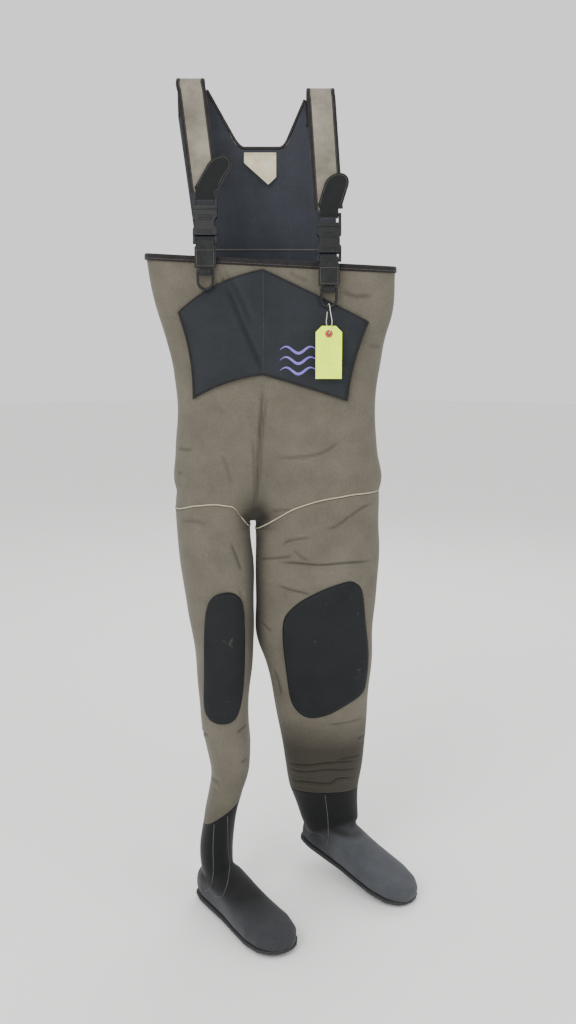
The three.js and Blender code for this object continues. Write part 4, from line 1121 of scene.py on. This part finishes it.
def build_legs():
    """Two legs of the suit, each one sewn tube."""
    for side in SIDES:
        skin = leg_grid(side, LEG_ROWS, LEG_COLUMNS[side])
        leg = grid_object(f"suit_leg_{side}", skin, wrap_cols=True)
        tidy_mesh(leg)

        def guard(co):
            top = np.clip((seam_height(side, co[:, 0]) - co[:, 2]) / 20, 0, 1)
            low = np.clip((co[:, 2] - plane_height(CUFF[side], co[:, 0])) / 14, 0, 1)
            return top * low

        creased(leg, LEG_FOLDS[side], guard, suit_tone, LEG_SHARPNESS)
        thicken(leg, foam_thickness(), 1)
        settle(leg, ["taupe", "slate"], knee_blend(side),
               [f"thigh_panel_{side}", f"knee_panel_{side}", f"shin_panel_{side}"])


def build_thigh_seams():
    """Bonded cream tape and its stitches round each thigh, where leg and trunk meet."""
    for side in SIDES:
        ring = leg_grid(side, 2, 220, 0.6)[0]
        ring = sum(np.roll(ring, shift, axis=0) for shift in range(-4, 5)) / 9
        centre = ring.mean(0)
        up = unit((ring - centre) * (1, 1, 0))
        tape = bead(f"thigh_seam_{side}", ring, up, 2.5, 1.9, closed=True)
        settle(tape, "seam", "root")
        loop = np.concatenate([ring, ring[:1]]) - (0, 0, 2.4)
        row = stitch_row(f"thigh_seam_stitches_{side}", loop, np.concatenate([up, up[:1]]), 4.4, 2.8, 0.6)
        settle(row, "dark_thread", "root")


def foot_skin(side):
    """Foot form: at each station from heel to toe a section round above and square below."""
    share = np.concatenate([[0, 0.015], np.linspace(0.04, 0.97, 40), [0.985, 1]])
    half = np.interp(share, FOOT_STATIONS[:, 0], FOOT_STATIONS[:, 1])[:, None]
    high = np.interp(share, FOOT_STATIONS[:, 0], FOOT_STATIONS[:, 2])[:, None]
    angle = np.linspace(0, 2 * math.pi, 64, endpoint=False)[None]
    c, s = np.cos(angle), np.sin(angle)
    power = np.where(s < 0, FOOT_FLOOR_POWER, FOOT_UPPER_POWER)
    x = share[:, None] * FOOT_LENGTH + 0 * angle
    y = (half + SOLE_RIM / 2) * signed_power(c, 2 / power)
    z = high / 2 * (1 + signed_power(s, 2 / power))
    return placed(np.stack([x, y, z], -1), foot_matrix(side))


def sock_tone(side):
    """Painted shade and light by position: near black at the cuff, shaft and heel, greyer on the foot's
    upper; the right sock darker as a whole.
    """
    heel = FEET[side][0][2]
    inverse = np.linalg.inv(foot_matrix(side))
    # First value darkens the whole sock, the right one; second sets the heel's painted shade
    worn, rear = {"left": (0.0, 0.8), "right": (0.5, 0.25)}[side]

    def tone(co):
        band = np.clip((co[:, 2] - plane_height(CUFF[side], co[:, 0]) + 34) / 4, 0, 1)
        shaft = np.clip((co[:, 2] - heel - 36) / 26, 0, 1)
        back = np.clip((125 - placed(co, inverse)[:, 0]) / 60, 0, 1)
        return np.clip(worn + 0.75 * shaft + 0.3 * band + rear * back, 0, 1)

    return tone


SOCK_FOLDS = {
    "left": [([(128, -1452), (150, -1458), (171, -1462), (203, -1466), (232, -1462)], 5, 3.4),
             ([(180, -1452), (205, -1458), (222, -1456)], 5, 2.2)],
    "right": [([(-96, -1500), (-60, -1496), (-30, -1490)], 6, 1.6), ([(-30, -1470), (-10, -1478)], 6, 1.2)],
}
GUSSETS = {
    "left": [[(134, -1384), (137, -1410), (140, -1437), (141, -1474), (138, -1500)]],
    "right": [[(-83, -1386), (-85, -1429), (-85, -1481), (-92, -1512), (-104, -1530)],
              [(-57, -1370), (-57, -1441), (-54, -1476), (-64, -1504), (-82, -1518)]],
}


def build_socks():
    """Sock feet: ankle and foot fused into one skin, cut along the cuff, with their gusset seams."""
    angle = np.linspace(0, 2 * math.pi, 72, endpoint=False)[None]
    for side in SIDES:
        table = LEGS[side]
        z = np.linspace(plane_height(CUFF[side], table[10, 1]) + 60, table[-1, 0], 50)[:, None]
        shaft = grid_object("shaft", leg_points(side, z, angle), wrap_cols=True, caps=True)
        foot = grid_object("foot", foot_skin(side), wrap_cols=True, caps=True)
        for part in (shaft, foot):
            tidy_mesh(part)
        sock = fused(f"sock_{side}", [shaft, foot], SOCK_VOXEL, SOCK_ROUNDS)
        cut_above(sock, (CUFF[side][0] - 0.6, CUFF[side][1]))
        tidy_mesh(sock)

        def guard(co):
            sole = np.clip((co[:, 2] - FEET[side][0][2] - 12) / 20, 0, 1)
            return sole * np.clip((plane_height(CUFF[side], co[:, 0]) - co[:, 2]) / 14, 0, 1)

        creased(sock, SOCK_FOLDS[side], guard, sock_tone(side))
        for number, line in enumerate(GUSSETS[side], 1):
            flat = resample(line, 40)
            depth = drop_on(sock, flat)
            path = np.stack([flat[:, 0], depth - 0.2, flat[:, 1]], 1)
            seam = bead(f"sock_gusset_{number}_{side}", path, facing(path, (0.0, -1.0, 0.1)), 1.6, 1.2)
            settle(seam, "sock_seam", f"shin_{side}")
        thicken(sock, SOCK_WALL)
        settle(sock, "sock", f"shin_{side}", [f"sock_shaft_{side}", f"sock_foot_{side}"])


def build_soles():
    """Outsoles: the foot's outline with a rim, carried round an edge profile 6 mm thick."""
    for side in SIDES:
        share = (1 - np.cos(np.linspace(0, math.pi, 60))) / 2
        half = np.interp(share, SOLE_STATIONS[:, 0], SOLE_STATIONS[:, 1])
        x = share * (FOOT_LENGTH + 2 * SOLE_RIM) - SOLE_RIM
        edge = np.concatenate([np.stack([x, half], 1), np.stack([x, -half], 1)[::-1][1:-1]])
        centre = np.array([FOOT_LENGTH / 2, 0])
        out = unit(edge - centre)
        low, high = -SOLE_THICKNESS / 2 - SKIN_GAP, SOLE_THICKNESS / 2 - SKIN_GAP
        profile = [(-30, low), (-9, low), (-8, low + 0.7), (-6, low + 0.7), (-5, low), (-1.4, low),
                   (-0.2, low + 1.2),
                   (0, low + 2.2), (-0.5, low + 2.9), (0, low + 3.6), (-0.2, high - 0.6), (-1.4, high),
                   (-12, high)]
        rings = [np.concatenate([np.stack([centre[0] + (edge[:, 0] - centre[0]) * 0.02, edge[:, 1] * 0.02,
                                           np.full(len(edge), low)], 1)])]
        for inset, z in profile:
            scale = 1 + inset / np.linalg.norm(edge - centre, axis=1)
            scale = np.clip(scale, 0.1, None)[:, None]
            ring = centre + (edge - centre) * scale if inset < -2 else edge + out * inset
            rings.append(np.concatenate([ring, np.full((len(edge), 1), float(z))], 1))
        points = placed(np.stack(rings), foot_matrix(side))
        sole = grid_object(f"rubber_sole_{side}", points, wrap_cols=True, caps=True)
        tidy_mesh(sole, merge=1e-6)
        settle(sole, "sole", f"shin_{side}", [f"outsole_{side}"])


def build_knee_pads():
    """Knee patches on the leg's skin: an outline filled by shares of the way to its centre."""
    for side in SIDES:
        outline = resample(PADS[side], 120, closed=True)
        centre = outline.mean(0)
        share = np.concatenate([np.linspace(0.02, 0.94, 26), [0.965, 0.985, 1.0]])
        flat = centre + (outline - centre)[None] * share[:, None, None]
        crown = PAD_THICKNESS + 1.0 + 0.6 * (1 - share ** 2)
        crown[-3:] = [PAD_THICKNESS + 0.8, PAD_THICKNESS + 0.1, PAD_THICKNESS - 1.2]
        y = leg_front(side, flat[..., 0], flat[..., 1])
        hump = 0.5 * np.sin(flat[..., 1] / 21) * np.sin(flat[..., 0] / 30)
        outer = np.stack([flat[..., 0], y - crown[:, None] - hump * (1 - share[:, None] ** 4),
                          flat[..., 1]], -1)
        inner = np.stack([flat[..., 0], y - SKIN_GAP, flat[..., 1]], -1)[::-1]
        pad = grid_object(f"knee_patch_{side}", np.concatenate([outer, inner]), wrap_cols=True, caps=True)
        tidy_mesh(pad, merge=1e-6)
        settle(pad, "pad", knee_blend(side), [f"knee_pad_{side}"])
        row = centre + (outline - centre) * 0.955
        row = np.concatenate([row, row[:1]])
        path = np.stack([row[:, 0], leg_front(side, row[:, 0], row[:, 1]) - PAD_THICKNESS - 1.0, row[:, 1]],
                        1)
        stitches = stitch_row(f"knee_patch_stitches_{side}", path, facing(path), 4.4, 2.8, 0.5)
        settle(stitches, "dark_thread", knee_blend(side))


def quadratic(a, b, c, count):
    t = np.linspace(0, 1, count)[:, None]
    a, b, c = (np.array(p, float) for p in (a, b, c))
    return a * (1 - t) ** 2 + 2 * b * t * (1 - t) + c * t ** 2


def pocket_flat():
    """The pocket seen from the front: a Coons patch between its four edges, u across and v down."""
    spot = POCKET_CORNERS
    half = POCKET_COLUMNS // 2 + 1
    top = np.concatenate([quadratic(spot["top_right"], (-78, -356), spot["top"], half),
                          quadratic(spot["top"], (120, -388), spot["top_left"], half)[1:]])
    bottom = np.concatenate([quadratic(spot["bottom_right"], (-60, -540), spot["bottom"], half),
                             quadratic(spot["bottom"], (92, -553), spot["bottom_left"], half)[1:]])
    left = quadratic(spot["top_right"], (-114, -496), spot["bottom_right"], POCKET_ROWS)
    right = quadratic(spot["top_left"], (176, -508), spot["bottom_left"], POCKET_ROWS)
    u = np.linspace(0, 1, POCKET_COLUMNS)[None, :, None]
    v = np.linspace(0, 1, POCKET_ROWS)[:, None, None]
    ruled = (1 - v) * top[None] + v * bottom[None] + (1 - u) * left[:, None] + u * right[:, None]
    corners = (1 - u) * ((1 - v) * top[0] + v * bottom[0]) + u * ((1 - v) * top[-1] + v * bottom[-1])
    return ruled - corners


def pocket_lift(u, v):
    """How far the pocket's face stands off the suit: sewn down at top and bottom, open at the sides."""
    belly = np.clip(np.minimum(v, 1 - v) / 0.16, 0, 1)
    belly = belly ** 2 * (3 - 2 * belly)
    side = 1 - 0.35 * np.exp(-(np.minimum(u, 1 - u) / 0.05) ** 2)
    centre = 1 - 0.45 * np.exp(-((u - 0.5) / 0.07) ** 2)
    return 5.4 + 6.2 * belly * side * centre


def pocket_surface(flat):
    u = np.linspace(0, 1, flat.shape[1])[None]
    v = np.linspace(0, 1, flat.shape[0])[:, None]
    y = torso_front(flat[..., 0], flat[..., 1]) - pocket_lift(u, v)
    return np.stack([flat[..., 0], y, flat[..., 1]], -1)


POCKET_FOLDS = [
    ([(-62, -352), (-42, -395), (-16, -458), (7, -512), (13, -538)], 4.5, 3.4),
    ([(-50, -350), (-28, -392), (-6, -445)], 4, 1.5),
]


def on_pocket(pocket, flat, lift=0.2):
    """Points on the pocket's outer face above flat (x, z) points."""
    return np.stack([flat[:, 0], drop_on(pocket, flat) - lift, flat[:, 1]], 1)


def wave_points(pocket, level):
    """One printed wave on the pocket: a flat ribbon along a sine, tapering at both ends."""
    x = np.linspace(WAVE_START, WAVE_START + WAVE_LENGTH, TRIM_POINTS)
    z = level + WAVE_RISE * np.sin((x - WAVE_START) / WAVE_LENGTH * 2 * math.pi * WAVE_PERIODS)
    path = on_pocket(pocket, np.stack([x, z], 1), 0.25)
    taper = np.sin(np.linspace(0.12, math.pi - 0.12, TRIM_POINTS))[:, None]
    _, across, lift = path_frame(path, facing(path))
    return sweep(path, across * taper, lift, round_profile(5.0, 0.6, 0.3))


def build_pocket():
    """Hand-warmer pocket with its centre seam, stitched edges and a plain printed wave motif."""
    flat = pocket_flat()
    pocket = grid_object("hand_warmer_pocket", pocket_surface(flat))
    tidy_mesh(pocket)
    if vertex_normals(pocket)[:, 1].mean() > 0:
        pocket.data.flip_normals()
    co = coordinates(pocket) / MM
    normals = vertex_normals(pocket)
    depth, dark = folds_on(co, np.ones(len(co)), POCKET_FOLDS)
    wavy = 0.45 * unevenness(co) * np.clip((-co[:, 2] - 360) / 60, 0, 1)
    set_coordinates(pocket, (co + normals * (np.clip(depth, -2.6, 2) + wavy)[:, None]) * MM)
    # Painted shade in the pocket's creases, with a painted highlight on their banks
    set_attribute(pocket, "fold", dark * 0.8)
    front = np.tile(FORWARD, (TRIM_POINTS, 1))

    def trim(name, line, width, height, finish):
        path = on_pocket(pocket, resample(line, TRIM_POINTS))
        settle(bead(name, path, front, width, height), finish, "root")

    trim("pocket_centre_seam", [(14, -344), (14, -450), (13, -529)], 0.9, 0.8, "pocket_seam")
    for side, edge, inset in (("right", flat[2:-2, 1], 4.6), ("left", flat[2:-2, -2], -4.6)):
        trim(f"pocket_side_edge_{side}", edge, 4.2, 2.6, "binding")
        path = on_pocket(pocket, resample(edge + np.array([inset, 0]), TRIM_POINTS))
        row = stitch_row(f"pocket_side_stitches_{side}", path, front, 4.2, 2.6, 0.55)
        settle(row, "dark_thread", "root")
    trim("pocket_bottom_hem", flat[-2, 1:-1], 3.6, 2.2, "binding")
    trim("pocket_top_hem", flat[1, 1:-1], 2.2, 1.6, "binding")
    for number, level in enumerate(WAVE_LEVELS, 1):
        wave = grid_object(f"printed_wave_{number}", wave_points(pocket, level), wrap_cols=True, caps=True)
        tidy_mesh(wave)
        settle(wave, "motif", "root")
    thicken(pocket, POCKET_WALL)
    settle(pocket, "pocket", "root", ["hand_pocket"])


def rim_path(count):
    """The chest rim's outer edge, from the high back's right corner round the front to its left corner."""
    angle = np.linspace(0, 2 * math.pi, 1441)
    ring = torso_points(np.full(angle.shape, float(RIM_Z)), angle)
    start = int(np.argmin(np.where((angle < math.pi), np.abs(ring[:, 0] - BACK_EDGE["right"] + 1), 1e9)))
    end = int(np.argmin(np.where((angle < math.pi), np.abs(ring[:, 0] - BACK_EDGE["left"] - 1), 1e9)))
    path = np.concatenate([ring[start:], ring[1:end + 1]])
    return resample(path, count, smooth=False)


def build_chest_binding():
    """Folded tape over the chest rim: an upside-down channel along the rim, with a row of stitches."""
    path = rim_path(420)
    along = unit(np.gradient(path, axis=0))
    out = unit(np.cross(along, (0, 0, 1.0)))
    middle = path.mean(0)
    if ((path - middle) * out).sum() < 0:
        out = -out
    up = np.tile((0.0, 0.0, 1.0), (len(path), 1))
    outer = [(2.0, -9), (2.4, -4), (2.0, 1.0), (0.9, 2.6), (-1.5, 3.3), (-3.5, 3.3), (-5.9, 2.6), (-7.0, 1.0),
             (-7.4, -4), (-7.0, -9)]
    inner = [(-5.4, -9), (-5.4, 0.3), (0.4, 0.3), (0.4, -9)]
    tape = grid_object("rim_tape", sweep(path, out, up, outer + inner), wrap_cols=True, caps=True)
    tidy_mesh(tape)
    settle(tape, "binding", "root", ["chest_binding"])
    row = path + out * 2.4 - up * 5.2
    stitches = stitch_row("rim_tape_stitches", row, out, 4.2, 2.4, 0.6)
    settle(stitches, "thread", "root")


def strap_tip(side, count, inset=0.0):
    """Points (x, z) across the end of a strap, where the high back panel is sewn to it."""
    x, half = CREST[side][0], STRAP_WIDTH / 2 - inset
    z = CREST[side][1] - BACK_TIP_DROP + SKIN_GAP
    return np.stack([np.linspace(x - half, x + half, count), np.full(count, z)], 1)


def build_high_back():
    """High back panel: straight lines from the rim up to straps and neckline, leaning back as it falls."""
    neck = neckline(91)
    right, left = strap_tip("right", 13)[:-1], strap_tip("left", 13)[1:]
    top = np.concatenate([right, neck, left])
    share = np.concatenate([np.linspace(0, 0.12, 13)[:-1], np.linspace(0.12, 0.88, 91),
                            np.linspace(0.88, 1, 13)[1:]])
    x = BACK_EDGE["right"] + (BACK_EDGE["left"] - BACK_EDGE["right"]) * share
    bottom = np.stack([x, RIM_Z + RIM_SLOPE * (x - CHEST_CENTRE_X) - 2], 1)
    t = np.linspace(0, 1, 80)[:, None, None]
    flat = bottom[None] * (1 - t) + top[None] * t
    drape = 0.8 * np.sin(flat[..., 0] / 29 + flat[..., 1] / 61) * np.sin(t[..., 0] * math.pi)
    points = np.stack([flat[..., 0], back_y(flat[..., 1]) + NEOPRENE / 2 + drape, flat[..., 1]], -1)
    panel = grid_object("back_panel", points)
    tidy_mesh(panel)
    if vertex_normals(panel)[:, 1].mean() < 0:
        panel.data.flip_normals()
    thicken(panel, NEOPRENE, 1)
    settle(panel, ["taupe", "slate"], "root", ["high_back_panel"])
    x = np.linspace(BACK_EDGE["right"] + 2, BACK_EDGE["left"] - 2, 80)
    z = np.full(80, LINING_SEAM_Z)
    path = np.stack([x, back_y(z) - NEOPRENE / 2 - 0.9, z], 1)
    seam = bead("lining_seam", path, facing(path), 2.2, 1.4)
    settle(seam, "thread", "root")


def build_shoulder_seams():
    """Tapes over the seams between the straps and the high back, inside and out."""
    for side in SIDES:
        x, z = strap_tip(side, 80, 0.5).T
        for face, turn in (("front", -1), ("back", 1)):
            path = np.stack([x, back_y(z) + turn * (NEOPRENE / 2 + 0.1), z], 1)
            tape = bead(f"shoulder_seam_{face}_{side}", path, facing(path) * -turn, 5.0, 1.4)
            settle(tape, "binding", "root")


def build_neck_binding():
    """Folded tape round the neck opening, with its stitches."""
    edge = neckline(200, 2.2)
    path = np.stack([edge[:, 0], back_y(edge[:, 1]), edge[:, 1]], 1)
    _, across, lift = path_frame(path, facing(path))
    tape = grid_object("neck_tape", sweep(path, across, lift, round_profile(5.4, 7.4, 2.2)), wrap_cols=True,
                       caps=True)
    tidy_mesh(tape)
    settle(tape, "binding", "root", ["neck_binding"])
    stitches = stitch_row("neck_tape_stitches", path - (0, 3.7, 0), facing(path), 4.2, 2.4, 0.5)
    settle(stitches, "thread", "root")


def build_care_label():
    """Blank woven label sewn at its top edge; its lower corner curls forward."""
    x = np.linspace(-23, 37, 40)
    low = np.interp(x, *zip(*LABEL_EDGE))
    t = np.linspace(0, 1, 40)[:, None]
    z = LABEL_TOP_Z * (1 - t) + low[None] * t
    from_fold = np.maximum(z - np.interp(x, *zip(*LABEL_EDGE[:2]))[None], 0) * 0.75
    curl = 7.5 * np.clip(1 - from_fold / 15, 0, 1) ** 2 * (x < 26)[None]
    lift = NEOPRENE / 2 + 0.6 + 4.5 * t ** 2.2 + 0.6 * np.sin(x / 9)[None] * t + curl
    points = np.stack([np.broadcast_to(x, z.shape), back_y(z) - lift, z], -1)
    label = grid_object("care_label_cloth", points)
    tidy_mesh(label)
    thicken(label, LABEL_WALL)
    settle(label, "label", "care_label", ["care_label"])
    seam_z = np.full(len(x), LABEL_SEAM_Z)
    path = np.stack([x, back_y(seam_z) - NEOPRENE / 2 - 1.3, seam_z], 1)
    row = stitch_row("care_label_stitches", path, facing(path), 3.4, 2.2, 0.4)
    settle(row, "thread", "care_label")


def build_straps():
    """Shoulder straps: a flat core and a folded tape on each edge, over the crest and down the front."""
    core = STRAP_WIDTH / 2 - STRAP_BINDING
    for side in SIDES:
        path = resample(strap_path(side), 130)
        along = unit(np.gradient(path, axis=0))
        across = unit(np.array([1.0, 0, 0]) - along * along[:, :1])
        up = unit(np.cross(along, across))
        if up[len(up) // 8, 1] < 0:
            up = -up
        nodes = [f"strap_{part}_{side}" for part in ("over", "run")]
        band = grid_object(f"strap_{side}", sweep(path, across, up, round_profile(2 * core + 2,
                                                                                  STRAP_THICKNESS, 1)),
                           wrap_cols=True, caps=True)
        tidy_mesh(band)
        settle(band, "strap", strap_blend(side), nodes)
        for edge, sign in (("inner", -SIGN[side]), ("outer", SIGN[side])):
            profile = round_profile(STRAP_BINDING - 0.4, STRAP_THICKNESS + 1, 2.2)
            profile[:, 0] += sign * (core + STRAP_BINDING / 2)
            tape = grid_object(f"strap_tape_{edge}_{side}", sweep(path, across, up, profile),
                               wrap_cols=True, caps=True)
            tidy_mesh(tape)
            nodes = [f"strap_{part}_binding_{edge}_{side}" for part in ("over", "run")]
            settle(tape, "binding", strap_blend(side), nodes)
            row = path + across * sign * (core + 2.2) + up * (STRAP_THICKNESS / 2 + 0.55)
            stitches = stitch_row(f"strap_stitches_{edge}_{side}", row, up, 3.8, 2.2, 0.45)
            settle(stitches, "thread", strap_blend(side))


# ---- buckles and fittings ----
def build_buckles():
    """Side-release buckles and D-rings: CAD forms with moulded, rounded edges."""
    for side in SIDES:
        for node, body, width, segments in (
            (f"buckle_plug_{side}", f"plug_{side}", 0.9, 3),
            (f"buckle_socket_{side}", "root", 0.9, 3),
            (f"buckle_prong_inner_{side}", f"prong_inner_{side}", 0.6, 2),
            (f"buckle_prong_outer_{side}", f"prong_outer_{side}", 0.6, 2),
            (f"d_ring_{side}", f"ring_{side}", 1.5, 3),
        ):
            piece = cad_copy(f"{node}_moulded", node)
            soften_edges(piece, width, segments)
            settle(piece, "plastic", body, [node], shade=False)
        grip = joined(f"buckle_grip_{side}", [grip_ridge(side, z) for z in GRIP_LEVELS])
        settle(grip, "plastic", "root")


def grip_ridge(side, z):
    """One low moulded grip rib across the buckle's face."""
    x = np.linspace(-GRIP_HALF_WIDTH, GRIP_HALF_WIDTH, 12)
    path = np.stack([x, np.full(12, BUCKLE_FACE_Y), np.full(12, float(z))], 1)
    return bead("ridge", placed(path, buckle_matrix(side)), facing(path), 1.6, 0.9)


def build_tongues():
    """Fastening tongues: the CAD flap, curved in towards the neck, with a stitched edge."""
    for side in SIDES:
        matrix = buckle_matrix(side)
        back = np.linalg.inv(matrix)
        flap = cad_copy(f"fastening_tongue_{side}", f"strap_tongue_{side}")
        local = placed(coordinates(flap) / MM, back)
        bend, lean = TONGUE_BEND[side], TONGUE_LEAN[side]
        local[:, 0] += bend * np.clip((local[:, 2] - LOOP_OUTER) / TONGUE_LENGTH, 0, 1) ** TONGUE_CURVE
        set_coordinates(flap, placed(local, matrix) * MM)
        soften_edges(flap, 0.8, 2)
        settle(flap, "pile", f"tongue_{side}", [f"strap_tongue_{side}"], shade=False)
        top = TONGUE_LENGTH - TONGUE_ROUND
        angle = np.linspace(0, math.pi, 30)
        arc = np.stack([TONGUE_SEAM * np.cos(angle) + lean * (top - LOOP_OUTER),
                        top + TONGUE_SEAM * np.sin(angle)], 1)
        z = np.linspace(LOOP_OUTER + 12, top, 14)[:-1]
        edge = [np.stack([s * TONGUE_SEAM + lean * (z - LOOP_OUTER), z], 1) for s in (1, -1)]
        line = np.concatenate([edge[0], arc, edge[1][::-1]])
        line[:, 0] += bend * np.clip((line[:, 1] - LOOP_OUTER) / TONGUE_LENGTH, 0, 1) ** TONGUE_CURVE
        path = placed(np.stack([line[:, 0], np.full(len(line), -LOOP_OUTER - 0.1), line[:, 1]], 1), matrix)
        row = stitch_row(f"fastening_tongue_stitches_{side}", path, facing(path), 3.6, 2.4, 0.5)
        settle(row, "thread", f"tongue_{side}")


def build_tabs():
    """Webbing tabs and ring loops: CAD folds with woven faces and rows of stitching."""
    for side in SIDES:
        for node in (f"webbing_tab_{side}", f"ring_loop_{side}"):
            piece = cad_copy(f"{node}_woven", node)
            soften_edges(piece, 0.5, 2)
            settle(piece, "webbing", "root", [node], shade=False)
        low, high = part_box(f"webbing_tab_{side}")
        low, high = np.array(low) / MM, np.array(high) / MM
        x = np.linspace(low[0] + 4, high[0] - 4, 20)
        rows = []
        for z in (low[2] + 3.4, low[2] + 31):
            path = np.stack([x, np.full(20, low[1] - 0.1), np.full(20, z)], 1)
            rows.append(stitch_row("row", path, facing(path), 3.2, 2.4, 0.5))
        for px in (low[0] + 3.4, high[0] - 3.4):
            z = np.linspace(low[2] + 4, low[2] + 30, 20)
            path = np.stack([np.full(20, px), np.full(20, low[1] - 0.1), z], 1)
            rows.append(stitch_row("row", path, facing(path), 3.2, 2.4, 0.5))
        row = joined(f"webbing_tab_stitches_{side}", rows)
        settle(row, "thread", "root")


def build_tag():
    """Shop tag and its eyelet keep their CAD shapes and take card and fibre finishes."""
    for node, finish in (("shop_tag", "card"), ("tag_eyelet", "eyelet")):
        dress(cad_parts[node], finish)


# ---- add-on ----
class WadersSettings(bpy.types.PropertyGroup):
    """Sizes that a user may change before building"""
    thickness: bpy.props.FloatProperty(name="Foam thickness", description="Wall of the suit's foam rubber",
                                       default=NEOPRENE * MM, min=0.002, max=0.008, unit="LENGTH",
                                       subtype="DISTANCE")


class WadersStep:
    bl_options = {"REGISTER", "UNDO"}

    def execute(self, context):
        for step in self.steps:
            step()
        return {"FINISHED"}


class WADERS_OT_stage(bpy.types.Operator):
    """Makes the camera, materials, floor and lights"""
    bl_idname = "waders.stage"
    bl_label = "Stage"

    def execute(self, context):
        build_camera(context)
        make_materials()
        build_stage(context)
        return {"FINISHED"}


class WADERS_OT_tag(WadersStep, bpy.types.Operator):
    """Makes the shop tag's string and finishes"""
    bl_idname = "waders.tag"
    bl_label = "Tag and string"
    steps = (build_string, build_tag)


class WADERS_OT_suit(WadersStep, bpy.types.Operator):
    """Makes the trunk, the legs and their seams"""
    bl_idname = "waders.suit"
    bl_label = "Suit"
    steps = (build_body, build_legs, build_thigh_seams)


class WADERS_OT_socks(WadersStep, bpy.types.Operator):
    """Makes the sock feet and outsoles"""
    bl_idname = "waders.socks"
    bl_label = "Sock feet"
    steps = (build_socks, build_soles)


class WADERS_OT_pads(WadersStep, bpy.types.Operator):
    """Makes the knee patches"""
    bl_idname = "waders.pads"
    bl_label = "Knee patches"
    steps = (build_knee_pads,)


class WADERS_OT_pocket(WadersStep, bpy.types.Operator):
    """Makes the hand-warmer pocket and its trim"""
    bl_idname = "waders.pocket"
    bl_label = "Pocket"
    steps = (build_pocket,)


class WADERS_OT_back(WadersStep, bpy.types.Operator):
    """Makes the straps, the high back, its tapes and the care label"""
    bl_idname = "waders.back"
    bl_label = "Straps and high back"
    steps = (build_straps, build_high_back, build_shoulder_seams, build_neck_binding, build_chest_binding,
             build_care_label)


class WADERS_OT_buckles(WadersStep, bpy.types.Operator):
    """Makes the buckles, rings, tongues and webbing"""
    bl_idname = "waders.buckles"
    bl_label = "Buckles"
    steps = (build_buckles, build_tongues, build_tabs)


OPERATORS = (WADERS_OT_stage, WADERS_OT_tag, WADERS_OT_suit, WADERS_OT_socks, WADERS_OT_pads,
             WADERS_OT_pocket,
             WADERS_OT_back, WADERS_OT_buckles)


class WADERS_PT_panel(bpy.types.Panel):
    """Lists the waders' building steps"""
    bl_idname = "WADERS_PT_panel"
    bl_label = "Waders"
    bl_space_type = "VIEW_3D"
    bl_region_type = "UI"
    bl_category = "Waders"

    def draw(self, context):
        self.layout.prop(context.scene.waders, "thickness")
        for operator in OPERATORS:
            self.layout.operator(operator.bl_idname)


CLASSES = (WadersSettings,) + OPERATORS + (WADERS_PT_panel,)


def register():
    for item in CLASSES:
        bpy.utils.register_class(item)
    bpy.types.Scene.waders = bpy.props.PointerProperty(type=WadersSettings)


def unregister():
    del bpy.types.Scene.waders
    for item in reversed(CLASSES):
        bpy.utils.unregister_class(item)


def main():
    register()
    for operator in OPERATORS:
        space, name = operator.bl_idname.split(".")
        getattr(getattr(bpy.ops, space), name)()
    bpy.context.view_layer.update()


if __name__ == "__main__":
    main()
